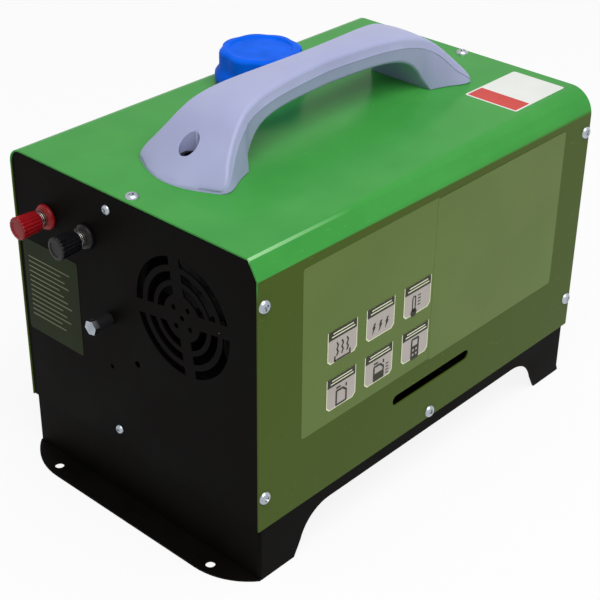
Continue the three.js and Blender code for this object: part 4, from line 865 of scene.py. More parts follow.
# printed vinyl: flat even inks, each a little cloudy, with a satin gleam
WHITE_PRINT = printed("white printed vinyl", "#E4E6E1", "#DBDED8")
GREY_PRINT = printed("grey printed vinyl", "#B5ADA8", "#ADA69F")
DARK_PRINT = printed("dark printed vinyl", "#2B2A20", "#333026")
CREAM_PRINT = printed("cream printed vinyl", "#E2E6C6", "#DADFBC")
RED_PRINT = printed("red printed vinyl", "#C93A32", "#BF362F")
# the rear label: a dark olive field with pale ink that has lost its strength
OLIVE_PRINT = printed("olive printed vinyl", "#1B240C", "#202A10", 0.32, 0.05)
PALE_PRINT = printed("faded pale ink", "#757A5C", "#696E52", 0.4, 0.1)
# polycarbonate display window, back-printed black: a near-mirror over a black depth
WINDOW = Finish(
    "back-printed polycarbonate window", "display_glass", "#0A0D10", "#0D1114", 0.08, spread=0.03,
    grain_mm=4.0, depth_mm=0.004, specular=0.3, coat=0.05,
)
# light-emitting strokes behind the window: a cool white that doesn't depend on the room's light
SEGMENTS = LitSegments(
    "lit display strokes", "display_glass", "#BFE9F2", "#B2E2EE", 0.3, grain_mm=1.0, depth_mm=0.002,
)
# keys moulded in light silicone-like plastic: pale, soft and without gloss
KEY_PLASTIC = Finish(
    "moulded light grey keypad plastic", "button_plastic", "#C3C6CA", "#B9BCC1", 0.5, grain_mm=0.4,
    depth_mm=0.01, patch_mm=5, worn="#DDDFE2",
)
# nickel-plated brass blades: metal with a faint yellow warmth
PLATED_BRASS = Finish(
    "nickel-plated brass", "zinc_steel", "#C9C4B6", "#BDB6A4", 0.28, patch_mm=5, grain_mm=0.4,
    depth_mm=0.003, metallic=1.0,
)


@lru_cache(maxsize=None)
def material_of(finish: Finish) -> bpy.types.Material:
    """Build each finish's material once."""
    return finish.build()


def finished(
    bm: BMesh, name: str, finish: Finish, body: str = "case", nodes: Sequence[str] = (),
    edge: float = 0.3, corner: float = 40.0,
) -> bpy.types.Object:
    """Turn a drawing in millimetres into a dressed piece that rides on its body.

    Args:
        bm: the drawing, used up.
        name: the piece's name.
        finish: its surface.
        body: the CAD body that carries it.
        nodes: the CAD nodes that it stands for.
        edge: width by which its edges are broken, 0 for none.
        corner: degrees from which an edge counts as one.

    Returns:
        The piece.
    """
    bmesh.ops.scale(bm, vec=(MM, MM, MM), verts=bm.verts)
    obj = as_object(bm, name)
    obj.data.shade_smooth()
    if edge:
        broken = obj.modifiers.new("broken edges", "BEVEL")
        broken.width = edge * MM
        broken.segments = 2
        broken.limit_method = "ANGLE"
        broken.angle_limit = math.radians(corner)
        even = obj.modifiers.new("even shading", "WEIGHTED_NORMAL")
        even.keep_sharp = True
    else:
        obj.data.set_sharp_from_angle(angle=math.radians(corner))
    obj.data.materials.append(material_of(finish))
    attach(obj, body)
    if nodes:
        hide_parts(*nodes)
    log.info("%s: %d faces, %s", name, len(obj.data.polygons), finish.name)
    return obj


# ---------------------------------------------------------------- case


@dataclass(frozen=True)
class Case:
    """Outer sizes that the sheet-metal pieces share."""

    length: float = 368.0
    width: float = 240.0
    height: float = 253.0
    seam: float = 45.5
    sheet: float = 1.2
    gap: float = 0.3
    recess: float = 0.8  # of the end panels behind the hood's end edges
    bevel_across: float = 7.7
    bevel_down: float = 13.3
    crease: float = 1.6  # radius of the bevel's two edges at the rear
    near_radius: float = 20.0  # of the near top bend at the front end
    far_radius: float = 11.2

    @property
    def end(self) -> float:
        """X of the hood's front edge."""
        return self.length / 2

    @property
    def side(self) -> float:
        """Y of the hood's far side."""
        return self.width / 2

    @property
    def panel_face(self) -> float:
        """X of the front panel's outer face."""
        return self.end - self.recess

    def section(self, rear: bool, inset: float = 0.0, foot: Optional[float] = None) -> list[Point]:
        """Give the hood's section from its far lower edge over the top to its near lower edge.

        Args:
            rear: the rear end has a flat bevel along its near top edge, the front end a round bend.
            inset: distance inside the outer skin.
            foot: height of the lower edges, the hood's own where none is given.

        Returns:
            (y, z) points, as many at either end.
        """
        foot = self.seam if foot is None else foot
        side, top = self.side - inset, self.height - inset
        if rear:
            slant = math.hypot(self.bevel_across, self.bevel_down)
            down, across = self.bevel_down, self.bevel_across
            lower = self.height - down - inset * (slant - down) / across
            upper = -self.side + across + inset * (slant - across) / down
            radius = self.crease
        else:
            radius = self.near_radius - inset
            reach = radius * math.tan(math.pi / 8)
            lower = top - radius + reach
            upper = -side + radius - reach
        corners = [(side, foot), (side, top), (upper, top), (-side, lower), (-side, foot)]
        radii = [0, self.far_radius - inset, radius, radius, 0]
        return rounded(corners, radii)


@dataclass
class Hood:
    """The green cover: one sheet bent over the case."""

    case: Case
    bends: int = 8  # cuts across its length, along which the near bend changes shape
    air_slot: Spot = (90.0, 8.5, 81.5)  # length, width and height of its axis
    sight_slot: tuple[float, float, float, float] = (-60.0, 8.0, 85.0, 195.0)  # X, width, foot and top
    filler: Spot = (21.6, 75.0, 29.0)  # X, Y and radius of its opening
    handle_bolt: tuple[float, float] = (125.0, 4.3)  # X and radius of its two holes
    screw_radius: float = 2.7

    def skin(self) -> BMesh:
        """Bridge the rear and front sections into the outer skin.

        Returns:
            The open skin, facing outwards.
        """
        bm = bmesh.new()
        loops: list[bmesh.types.BMEdge] = []
        for x, rear in ((-self.case.end, True), (self.case.end, False)):
            verts = [bm.verts.new((x, y, z)) for y, z in self.case.section(rear)]
            loops += [bm.edges.new(pair) for pair in zip(verts, verts[1:])]
        bmesh.ops.bridge_loops(bm, edges=loops)
        for i in range(1, self.bends):
            x = -self.case.end + self.case.length * i / self.bends
            bmesh.ops.bisect_plane(
                bm, geom=bm.verts[:] + bm.edges[:] + bm.faces[:], plane_co=(x, 0, 0), plane_no=(1, 0, 0)
            )
        bm.normal_update()
        if max(bm.faces, key=lambda f: f.calc_center_median().z).normal.z < 0:
            bmesh.ops.reverse_faces(bm, faces=bm.faces)
        return bm

    def cutters(self) -> list[BMesh]:
        """Make the solids of its slots and bores.

        Returns:
            One solid for each opening.
        """
        case = self.case
        length, width, height = self.air_slot
        x, slot_width, low, high = self.sight_slot
        near = Facing.NEAR.at(0, -case.side, height)
        far = Facing.FAR.at(x, case.side, (low + high) / 2)
        tools = [
            moved(slot(length, width), near),
            moved(slot(slot_width, high - low), far),
            rod(self.filler[2], case.height - 8, case.height + 8, self.filler[0], self.filler[1], 64),
        ]
        bolt_x, bolt_radius = self.handle_bolt
        for end in (-1, 1):
            tools.append(rod(bolt_radius, case.height - 8, case.height + 8, end * bolt_x, 0))
        for name in sorted(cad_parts):
            if name.startswith(("screw_near", "screw_far", "screw_top")):
                tools.append(moved(rod(self.screw_radius, -8, 8, steps=20), Screw.place(name)))
        return tools

    def build(self) -> None:
        """Make the hood and dress it."""
        solid = carved(self.skin(), *self.cutters(), wall=self.case.sheet)
        finished(solid, "green_hood", GREEN_COAT, nodes=["hood"], edge=0.5, corner=50)


@dataclass
class EndPanel:
    """What both end panels share: a plate with a rim folded inwards, set inside the hood."""

    case: Case
    rim: float = 14.0
    rim_foot: float = 56.3  # the rim starts above the base tray's wall
    foot: float = 45.8
    screw_y: float = 19.5
    screw_heights: Point = (239.0, 61.0)
    screw_radius: float = 2.7

    def blank(self, facing: Facing) -> BMesh:
        """Make the open pan that the holes are cut from, drawn flat with its face at Z = 0.

        Args:
            facing: which end of the case it closes.

        Returns:
            The skin of the face and its rim.
        """
        rear = facing is Facing.REAR
        hand = -1 if rear else 1
        inset = self.case.sheet + self.case.gap
        bm = bmesh.new()
        outline = self.case.section(rear, inset, self.foot)
        face = bm.faces.new([bm.verts.new((hand * y, z, 0)) for y, z in outline])
        face.normal_update()
        if face.normal.z < 0:
            face.normal_flip()
        grown = bmesh.ops.extrude_edge_only(bm, edges=bm.edges[:])["geom"]
        folded = [v for v in grown if isinstance(v, bmesh.types.BMVert)]
        bmesh.ops.translate(bm, vec=(0, 0, -self.rim), verts=folded)
        bmesh.ops.recalc_face_normals(bm, faces=bm.faces)
        if max(bm.faces, key=lambda f: f.calc_area()).normal.z < 0:
            bmesh.ops.reverse_faces(bm, faces=bm.faces)
        return bm

    def rim_gap(self) -> BMesh:
        """Clear the rim's foot, where the base tray's wall stands."""
        shape = rectangle(self.case.width + 20, 30, 0, self.rim_foot - 15)
        return plate(shape, -30, -self.case.sheet - SEAT)

    def screw_holes(self, across: float) -> list[BMesh]:
        """Bore the holes of its two screws."""
        return [rod(self.screw_radius, -5, 5, across, z, 20) for z in self.screw_heights]


@dataclass
class RearPanel(EndPanel):
    """The rear end panel with the intake grille."""

    grille: Point = (-50.4, 184.5)  # Y and Z of its middle
    rings: tuple[float, ...] = (20.0, 30.0, 40.6)  # radii of the slots' middle lines
    slot_width: float = 6.2
    spoke: float = 10.0
    turn: float = 9.0  # degrees by which the spokes are turned
    hub_circle: float = 9.6
    hub_hole: float = 2.0
    # Y, Z and radius: two spare holes, the battery posts' two and the stand-off's
    holes: tuple[Spot, ...] = (
        (-3.7, 127.5, 2.6), (23.6, 113.5, 1.8), (84.6, 210.4, 4.9), (43.2, 210.4, 4.9), (23.3, 153.2, 3.4),
    )
    label: tuple[float, float, float, float] = (55.0, 115.0, 108.0, 184.0)  # from and to in Y and in Z
    label_rows: int = 13

    def grille_cutter(self) -> BMesh:
        """Make the solid of the ring slots, broken by four spokes.

        Returns:
            The cutter about the grille's middle.
        """
        half, spoke, reach = self.slot_width / 2, self.spoke / 2, self.rings[-1] + self.slot_width
        ring_solids = [tube(r - half, r + half, -4, 4, 96) for r in self.rings]
        arm = [(spoke, spoke), (spoke, reach), (-spoke, reach)]
        corners = list(arm)
        for _ in range(3):
            arm = [(-y, x) for x, y in arm]
            corners += arm
        cross = plate(corners, -6, 6)
        return moved(carved(merged(*ring_solids), cross), turn_z(self.turn))

    def build(self) -> None:
        """Make the panel and its label and dress them."""
        here = Matrix.Translation((-self.grille[0], self.grille[1], 0))
        tools = [moved(self.grille_cutter(), here), self.rim_gap()]
        hub = [rod(self.hub_hole, -5, 5, 0, 0, 20)]
        for k in range(4):
            angle = math.radians(45 + self.turn + 90 * k)
            x, y = self.hub_circle * math.cos(angle), self.hub_circle * math.sin(angle)
            hub.append(rod(self.hub_hole, -5, 5, x, y, 20))
        tools += [moved(hole, here) for hole in hub]
        tools += [rod(radius, -5, 5, -y, z, 24) for y, z, radius in self.holes]
        tools += self.screw_holes(-self.screw_y)
        solid = carved(self.blank(Facing.REAR), *tools, wall=self.case.sheet)
        place = Facing.REAR.at(-self.case.panel_face, 0, 0)
        moved(solid, place)
        finished(solid, "rear_end_panel", BLACK_COAT, nodes=["rear_panel"], edge=0.25, corner=50)
        y0, y1, z0, z1 = self.label
        shape = rectangle(y1 - y0, z1 - z0, -(y0 + y1) / 2, (z0 + z1) / 2)
        label = moved(plate(shape, 0.02, 0.2, 2), place)
        finished(label, "rear_label_plate", OLIVE_PRINT, edge=0.05)
        rows = merged(*(self.label_row(k) for k in range(self.label_rows)))
        finished(moved(rows, place), "rear_label_rows", PALE_PRINT, edge=0)

    def label_row(self, row: int) -> BMesh:
        """Draw one plain bar of the label, where the product has small print.

        Args:
            row: its number from the top.

        Returns:
            The bar, shorter or longer than its neighbours as lines of print are.
        """
        y0, y1, _, z1 = self.label
        margin, head, pitch, height = 5, 14, 4, 0.9
        length = (y1 - y0 - 12) * (0.95 - 0.3 * (row * 5 % 7) / 7)  # seven lengths, in mixed order
        shape = rectangle(length, height, -y1 + margin + length / 2, z1 - head - row * pitch)
        return plate(shape, 0.21, 0.24)


@dataclass
class FrontPanel(EndPanel):
    """The front end panel with the openings of its fittings and lower vents."""

    outlet: Spot = (-50.4, 184.5, 38.3)  # Y, Z and radius
    vents: tuple[int, float] = (5, 9.0)  # rows of slots and the distance between them
    vent: tuple[float, float, float, float] = (60.0, 4.5, -50.0, 62.0)  # the lowest: length, width, Y, Z
    # width, height, Y, Z and corner radius: the control panel's and the mains inlet's
    openings: tuple[tuple[float, float, float, float, float], ...] = (
        (68, 42, 72, 190, 3), (54, 40, 62, 96, 2),
    )

    def build(self) -> None:
        """Make the panel and dress it."""
        rows, pitch = self.vents
        length, width, y, z = self.vent
        tools = [self.rim_gap(), rod(self.outlet[2], -5, 5, self.outlet[0], self.outlet[1], 96)]
        tools += [slot(length, width, y, z + row * pitch, 8) for row in range(rows)]
        for width, height, y, z, radius in self.openings:
            tools.append(plate(rectangle(width, height, y, z), -5, 5, radius))
        tools += self.screw_holes(self.screw_y)
        solid = carved(self.blank(Facing.FRONT), *tools, wall=self.case.sheet)
        moved(solid, Facing.FRONT.at(self.case.panel_face, 0, 0))
        finished(solid, "front_end_panel", BLACK_COAT, nodes=["front_panel"], edge=0.25, corner=50)


@dataclass
class BaseTray:
    """The black base: a tray with arched sides and a foot flange at either end."""

    half_length: float = 181.7
    half_width: float = 118.5
    wall_top: float = 56.0
    sheet: float = 1.5
    bend: float = 2.5
    floor: Point = (39.5, 41.0)  # Z of its under side and of its top
    arch: float = 33.6  # height of the arches
    arch_foot: float = 147.0  # from the middle to where an arch meets the ground
    reach: float = 202.5  # from the middle to a flange's outer edge
    flange_corner: float = 55.9
    flange_hole: Spot = (193.5, 82.0, 3.6)  # X, Y and radius
    pipes: tuple[tuple[float, float], ...] = ((78.0, 13.0), (44.0, 12.0))  # X and radius of the holes
    pipe_y: float = -50.4

    def arch_cutter(self) -> BMesh:
        """Make the solid under the arches of both long walls.

        Returns:
            The closed solid, wider than the tray.
        """
        foot = self.arch_foot
        half = [(foot, -1.0), (foot, 0.0), (foot - 6.5, 12.0), (foot - 13.0, self.arch)]
        corners = half + [(-x, z) for x, z in reversed(half)]
        radii = [0, 0, 12, 31, 31, 12, 0, 0]
        shape = rounded(corners, radii, 10)
        return moved(plate(shape, -140, 140), Facing.NEAR.at(0, 0, 0))

    def walls(self) -> BMesh:
        """Fold the four walls and cut the arches.

        Returns:
            The walls, open above and below.
        """
        bm = plate(rectangle(2 * self.half_length, 2 * self.half_width), 0, self.wall_top, self.bend)
        flat = [f for f in bm.faces if abs(f.normal.z) > 0.9]
        bmesh.ops.delete(bm, geom=flat, context="FACES_ONLY")
        return carved(bm, self.arch_cutter(), wall=self.sheet)

    def floor_plate(self) -> BMesh:
        """Cut the floor with its pipe holes.

        Returns:
            The floor, a hair inside the walls.
        """
        inside = self.half_length - self.sheet, self.half_width - self.sheet
        bm = plate(rectangle(2 * inside[0] - 0.1, 2 * inside[1] - 0.1), *self.floor)
        return carved(bm, *(rod(r, 30, 50, x, self.pipe_y) for x, r in self.pipes))

    def flange(self, end: int) -> BMesh:
        """Make one foot flange.

        Args:
            end: -1 for the rear, 1 for the front.

        Returns:
            The plate with its two rounded corners and two bolt holes.
        """
        side, taper = self.half_width - 0.1, 16.7
        corners = [
            (self.half_length - 1.4, -side), (self.half_length, -side), (self.reach, taper - side),
        ]
        corners += [(x, -y) for x, y in reversed(corners)]
        radius = self.flange_corner
        shape = rounded([(end * x, y) for x, y in corners], [0, 0, radius, radius, 0, 0], 10)
        x, y, radius = self.flange_hole
        holes = [rod(radius, -5, 5, end * x, side * y) for side in (-1, 1)]
        return carved(plate(shape, 0, self.sheet), *holes)

    def build(self) -> None:
        """Make the tray and dress it."""
        tray = merged(self.walls(), self.floor_plate(), self.flange(-1), self.flange(1))
        finished(tray, "black_base_tray", BLACK_COAT, nodes=["base_tray"], edge=0.35, corner=50)


# ---------------------------------------------------------------- fasteners


@dataclass
class Screw:
    """A zinc-plated pan-head screw with a cross recess."""

    head_radius: float = 4.9
    head_height: float = 3.0
    shank: float = 2.3
    length: float = 6.5
    cross: float = 0.28  # width of the recess's arms, as a share of the head's radius

    @staticmethod
    def place(node: str, head: float = 0.0) -> Matrix:
        """Give the frame of a CAD screw: its axis, with Z = 0 on the face under its head.

        Args:
            node: the CAD node of the screw.
            head: height of its head.

        Returns:
            The matrix for a screw drawn upright.
        """
        facing = Facing[node.split("_")[1].upper()]
        low, high = (Vector(corner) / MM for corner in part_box(node))
        out = Vector(facing.value)
        tip = Vector(most if o > 0 else least for least, most, o in zip(low, high, out))
        middle = (low + high) / 2
        spot = [t - o * head if o else m for t, m, o in zip(tip, middle, out)]
        turn = sum(map(ord, node)) * 37 % 90  # differs from screw to screw, and stays the same
        return facing.at(*spot, turn=turn)

    def blank(self) -> BMesh:
        """Turn the head and shank and sink the cross recess.

        Returns:
            The screw, upright.
        """
        r, h = self.head_radius, self.head_height
        # the pan head's curve, in shares of its radius and of its height
        dome = ((0, 1), (0.4, 0.985), (0.66, 0.88), (0.86, 0.66), (0.97, 0.34), (1, 0.12))
        head = [(across * r, up * h) for across, up in dome]
        stem = [(r, SEAT), (self.shank, SEAT), (self.shank, -self.length), (0, -self.length)]
        solid = turned(head + stem, 40)
        arms = []
        for turn in (0, 90):
            blade = plate(rectangle(1.24 * r, self.cross * r), 0.3 * h, h + 1)
            lower = [v for v in blade.verts if v.co.z < h / 2]
            bmesh.ops.scale(blade, vec=(0.35, 0.8, 1), verts=lower)
            arms.append(moved(blade, turn_z(turn)))
        return carved(solid, *arms)

    def build_all(self, on_panels: bool) -> None:
        """Make every screw of this size from one drawing, each turned as a hand would leave it.

        Args:
            on_panels: whether this size holds the end panels or the hood.
        """
        master = self.blank()
        for node in sorted(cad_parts):
            if node.startswith("screw_") and ("panel" in node) is on_panels:
                copy = moved(master.copy(), self.place(node, self.head_height))
                finished(copy, f"pan_{node}", ZINC, nodes=[node], edge=0.12, corner=35)
        master.free()


# ---------------------------------------------------------------- handle


class Profile:
    """A smooth curve that gives one size of the handle for each distance from its middle."""

    COUNT = 160  # of samples
    HAIR = 1e-6  # takes up rounding at a sample

    def __init__(self, *knots: Point) -> None:
        """Sample the curve from its foot's end to the middle of the grip."""
        self.samples = interpolate_bezier(*(Vector(knot) for knot in knots), self.COUNT)

    def at(self, x: float) -> float:
        """Read the curve at a distance from the middle.

        Args:
            x: the distance in millimetres.

        Returns:
            The size there.
        """
        for before, after in zip(self.samples, self.samples[1:]):
            if after.x <= x + self.HAIR:
                share = (x - before.x) / (after.x - before.x)
                return before.y + share * (after.y - before.y)
        return self.samples[-1].y


@dataclass
class Handle:
    """The moulded carry handle, bolted down through its two feet."""

    base: float = 253.05  # Z of its under side
    foot: float = 135.0  # from the middle to a foot's end
    bulge: float = 13.0  # by which a foot's end bows outwards at its middle
    seam_drop: float = 7.6  # of the moulding's parting line below the top
    bead: float = 0.35  # rise of the moulding's parting line on the grip's sides
    draft: float = 0.6  # by which the foot's end leans back towards its upper edge
    opening: float = 98.0  # from the middle to the end of the hand's opening
    flare: float = 5.5  # by which a foot's lower edge stands out
    flare_end: float = 0.12  # share of the flare at a foot's very end
    flare_fade: float = 16.0  # distance from there over which it comes in
    flare_waist: float = 0.45  # share of the flare at the seam
    grip_flare: float = 1.2  # by which the grip's lower edge stands out
    grip_waist: float = 1.6  # by which the grip's seam stands out
    crown: float = 2.0  # rise of the top between its edges
    shoulder: float = 4.2  # radius between the top and the sides
    corner: float = 3.6  # radius of the foot's corners, seen from above
    bolt: float = 125.0  # from the middle to a bolt's axis
    bore: float = 7.2
    shank_bore: float = 4.3
    seat: float = 5.0  # height of the bolt's seat over the under side
    sections: int = 34
    gathering: float = 1.6  # power that draws the sections closer together towards a foot's end
    across: tuple[float, ...] = (0.0, 0.22, 0.44, 0.65)  # shares of the half width with a point each

    def __post_init__(self) -> None:
        """Draw the three curves that shape it, as sizes over distances from the middle."""
        self.top = Profile((135, 1.4), (96, 46.6), (108.3, 46.5), (0, 48))
        self.half = Profile((135, 40.5), (117, 41.9), (134, 17), (0, 12.2))
        self.under = Profile((98, 0), (84.5, 31.9), (71.7, 28.8), (0, 29))

    def section(self, along: float, end: int) -> list[Spot]:
        """Give one closed section.

        Args:
            along: distance from the middle.
            end: -1 towards the rear, 1 towards the front.

        Returns:
            The section's points.
        """
        top = self.top.at(along)
        edge = max(0.0, self.corner - (self.foot - along))
        half = self.half.at(along) - self.corner + math.sqrt(self.corner**2 - edge**2)
        under = self.under.at(along) if along < self.opening else 0.0
        fade = self.flare_end + (self.foot - along) / self.flare_fade
        flare = self.flare * min(1.0, along / self.opening, fade)
        open_below = under > 0
        waist = half + (self.grip_waist if open_below else flare * self.flare_waist)
        low = half + (self.grip_flare if open_below else flare)
        # every rise and radius keeps to a share of the section's height, so that the low ones hold
        crown = self.crown * min(1.0, top / 20)
        soft = min(self.shoulder, 0.3 * (top - under))
        heel = min(3.0, 0.25 * (top - under)) if open_below else min(0.8, 0.2 * top)
        upper = [(t * half, top + crown * (1 - t * t)) for t in self.across]
        seam = top - min(0.4 * top, self.seam_drop)
        bead = min(self.bead, 0.06 * (top - under))
        line = [(waist, seam + bead), (waist + bead, seam), (waist, seam - bead)]
        flank = [(half, top), *line, (low, under)]
        lower = [(t * low, under) for t in reversed(self.across)]
        right = upper + flank + lower[:-1]
        corners = right + lower[-1:] + [(-y, z) for y, z in reversed(right[1:])]
        flat = [0.0] * (len(self.across) - 1)
        half_radii = flat + [soft, 0, 0, 0, heel] + flat
        radii = [0, *half_radii, 0, *reversed(half_radii)]
        near_end = max(0.0, (along - self.opening) / (self.foot - self.opening)) ** 2
        points = []
        for y, z in rounded(corners, radii, 5):
            aside = min(1.0, (y / low) ** 2) if not open_below else 1.0
            reach = self.bulge * near_end * (1 - aside)
            reach -= self.draft * near_end * min(1.0, z / top)
            points.append((end * (along + reach), y, self.base + z))
        return points

    def body(self) -> BMesh:
        """Skin the sections from one foot over the grip to the other.

        Returns:
            The closed solid, without its bores.
        """
        steps = [(k / self.sections) ** self.gathering for k in range(self.sections + 1)]
        distances = [self.foot * (1 - step) for step in steps]
        rings = [self.section(d, -1) for d in distances]
        rings += [self.section(d, 1) for d in reversed(distances[:-1])]
        return lofted(rings, strips=True)

    def bolt_blank(self) -> BMesh:
        """Turn a socket-head bolt and sink its hexagon.

        Returns:
            The bolt, upright on its seat.
        """
        profile = [(0, 8), (5.6, 8), (6.5, 7.3), (6.5, SEAT), (4, SEAT), (4, -14), (0, -14)]
        return carved(turned(profile, 40), rod(3.9, 3.5, 9, steps=6))

    def build(self) -> None:
        """Make the handle and its two bolts."""
        hole, bore, seat = self.shank_bore, self.bore, self.seat
        step = [(0, -5), (hole, -5), (hole, seat), (bore, seat), (bore, 50), (0, 50)]
        places = [Matrix.Translation((end * self.bolt, 0, self.base)) for end in (-1, 1)]
        solid = carved(self.body(), *(moved(turned(step), place) for place in places))
        finished(solid, "carry_handle", NYLON, nodes=["handle"], edge=0.3, corner=50)
        for name, end in (("rear", -1), ("front", 1)):
            place = Facing.TOP.at(end * self.bolt, 0, self.base + self.seat - SEAT, turn=17 * end)
            bolt = moved(self.bolt_blank(), place)
            node = f"handle_bolt_{name}"
            finished(bolt, f"socket_bolt_{name}", BLACKENED, nodes=[node], edge=0.3, corner=35)


# ---------------------------------------------------------------- fuel filler


@dataclass
class Filler:
    """The screw cap over the tank's neck, with its gasket and the rubber round the neck."""

    x: float = 21.6
    y: float = 75.0
    hood: float = 253.0
    top_radius: float = 31.4
    skirt_radius: float = 35.3
    top: float = 27.5  # heights here are above the hood
    bottom: float = 3.6
    dish_radius: float = 23.7  # of the hollow in the cap's top
    dish_depth: float = 1.2
    lobes: int = 8
    lobe_depth: float = 0.8
    bore: float = 26.2
    roof: float = 23.0
    gasket: tuple[float, float, float, float] = (17.0, 25.0, 20.3, 22.7)  # bore, radius, foot and top

    def cap_ring(self, radius: float, height: float, lobed: float) -> list[Spot]:
        """Give one ring of the cap's skin.

        Args:
            radius: its mean radius.
            height: its height above the hood.
            lobed: how much of the lobes shows at this height.

        Returns:
            The ring's points.
        """
        points = []
        for k in range(self.lobes * 16):
            angle = math.tau * k / (self.lobes * 16)
            grip = math.cos(self.lobes * angle)
            r = radius + lobed * self.lobe_depth * (grip - 0.35 * abs(grip))
            points.append((r * math.cos(angle), r * math.sin(angle), height))
        return points

    def cap(self) -> BMesh:
        """Skin the cap from its bore over the skirt and the lobed side to the dish.

        Returns:
            The closed solid about its axis.
        """
        lower, rim = self.bottom, self.top
        r, s, dish = self.top_radius, self.skirt_radius, self.dish_radius
        inside = [(self.bore, self.roof, 0), (self.bore, lower, 0)]
        skirt = [
            (s - 0.9, lower, 0), (s - 0.2, lower + 0.4, 0), (s, lower + 1.4, 0), (s - 0.3, lower + 5, 0),
        ]
        side = [(r + 1.4, lower + 8.6, 0.5), (r + 0.4, lower + 10.4, 1), (r, lower + 13, 1)]
        shoulder = [
            (r, rim - 3.2, 1), (r - 0.5, rim - 1.4, 1), (r - 1.7, rim - 0.4, 0.9),
            (r - 3.2, rim - 0.05, 0.7),
        ]
        hollow = [
            (dish + 2.2, rim, 0), (dish + 0.9, rim - 0.15, 0), (dish, rim - self.dish_depth, 0),
            (dish - 8, rim - self.dish_depth - 0.05, 0), (3, rim - self.dish_depth, 0),
        ]
        rows = inside + skirt + side + shoulder + hollow
        return lofted([self.cap_ring(*row) for row in rows])

    def build(self) -> None:
        """Make the cap, its gasket and the grommet."""
        place = Facing.TOP.at(self.x, self.y, self.hood, turn=11)
        cap = moved(self.cap(), place)
        finished(cap, "blue_fuel_cap", BLUE_CAP, "cap", ["fuel_cap"], edge=0.2, corner=45)
        ring = moved(tube(*self.gasket), place)
        finished(ring, "cap_gasket_ring", RUBBER, "cap_seal", ["cap_gasket"], edge=0.3)
        profile = [
            (25.3, -2.85), (32.2, -2.85), (32.2, -1.25), (28.7, -1.25), (28.7, SEAT), (32.2, SEAT),
            (31.9, 1.1), (31, 1.65), (25.3, 1.65),
        ]
        lip = moved(turned(profile, 64), place)
        finished(lip, "neck_grommet", RUBBER, nodes=["filler_grommet"], edge=0.3)


# ---------------------------------------------------------------- rear fittings


@dataclass
class BatteryPost:
    """An insulated battery post with a ribbed clamp knob."""

    colour: str
    y: float
    finish: Finish
    z: float = 210.4
    face: float = PANEL_FACE
    ribs: int = 18

    def knob_ring(self, radius: float, height: float, depth: float) -> list[Spot]:
        """Give one ring of the knob.

        Args:
            radius: its radius over the ribs.
            height: its height above the panel.
            depth: depth of the soft grooves between the ribs.

        Returns:
            The ring's points.
        """
        count = self.ribs * 6
        points = []
        for k in range(count):
            angle = math.tau * k / count
            r = radius - depth * (0.5 - 0.5 * math.cos(self.ribs * angle)) ** 2
            points.append((r * math.cos(angle), r * math.sin(angle), height))
        return points

    def knob(self) -> BMesh:
        """Skin the knob and bore it for the stud.

        Returns:
            The closed solid about its axis.
        """
        rows = [
            (7.0, 8.7, 0), (7.4, 9.0, 0.3), (7.45, 9.8, 0.7), (8.35, 24.2, 0.8), (8.5, 25, 0.75),
            (8.2, 25.6, 0.5), (7.6, 25.9, 0.15), (6.2, 26, 0), (5.6, 25.4, 0), (4.9, 25.2, 0),
            (1, 25.2, 0),
        ]
        skin = lofted([self.knob_ring(*row) for row in rows])
        return carved(skin, rod(3.3, 7, 22.3))

    def build(self) -> None:
        """Make the bush, the stud, the washer and the knob."""
        place = Facing.REAR.at(-self.face, self.y, self.z, turn=self.y)
        name = self.colour
        profile = [
            (3.3, -7), (4.6, -7), (4.6, SEAT), (9.3, SEAT), (9.5, 0.4), (9.5, 1.8), (9.0, 2.5), (7.79, 4),
            (3.3, 4),
        ]
        bush = moved(turned(profile), place)
        finished(bush, f"{name}_post_bush", self.finish, nodes=[f"{name}_post_base"])
        profile = [
            (0, -13), (3, -13), (3, 4.05), (6, 4.05), (6, 6.65), (3, 6.65), (3, 20.6), (2.2, 22), (0, 22),
        ]
        stud = moved(merged(turned(profile), rod(5.5, -11, -7.05, steps=6)), place)
        finished(stud, f"{name}_post_brass_stud", PLATED_BRASS, nodes=[f"{name}_post_stud"])
        washer = moved(tube(3.3, 6.6, 6.95, 8.15), place)
        nodes = [f"{name}_post_washer"]
        finished(washer, f"{name}_clamp_washer", ZINC, f"{name}_clamp", nodes, edge=0.2)
        knob = moved(self.knob(), place)
        nodes = [f"{name}_post_knob"]
        finished(knob, f"{name}_ribbed_knob", self.finish, f"{name}_knob", nodes, edge=0.15)


@dataclass
class StandOff:
    """A hexagon bolt on a spacer beside the grille."""

    y: float = 23.3
    z: float = 153.2
    face: float = PANEL_FACE
    spacer: float = 13.0  # its length

    def build(self) -> None:
        """Make the spacer and the bolt."""
        place = Facing.REAR.at(-self.face, self.y, self.z, turn=12)
        spacer = moved(tube(3.3, 4.8, SEAT, self.spacer), place)
        finished(spacer, "spacer_tube", BLACK_NYLON, nodes=["standoff_spacer"], edge=0.25)
        cone = turned([(0, 12), (7.2, 12), (7.2, 15.8), (5.0, 18.1), (0, 18.1)])
        head = common(rod(5.77, self.spacer + SEAT, 17.45, steps=6), cone)
        bolt = moved(merged(head, rod(3, -9, 13.5, steps=48)), place)
        finished(bolt, "hexagon_bolt", ZINC, nodes=["standoff_bolt"], edge=0.2, corner=30)


# ---------------------------------------------------------------- front fittings


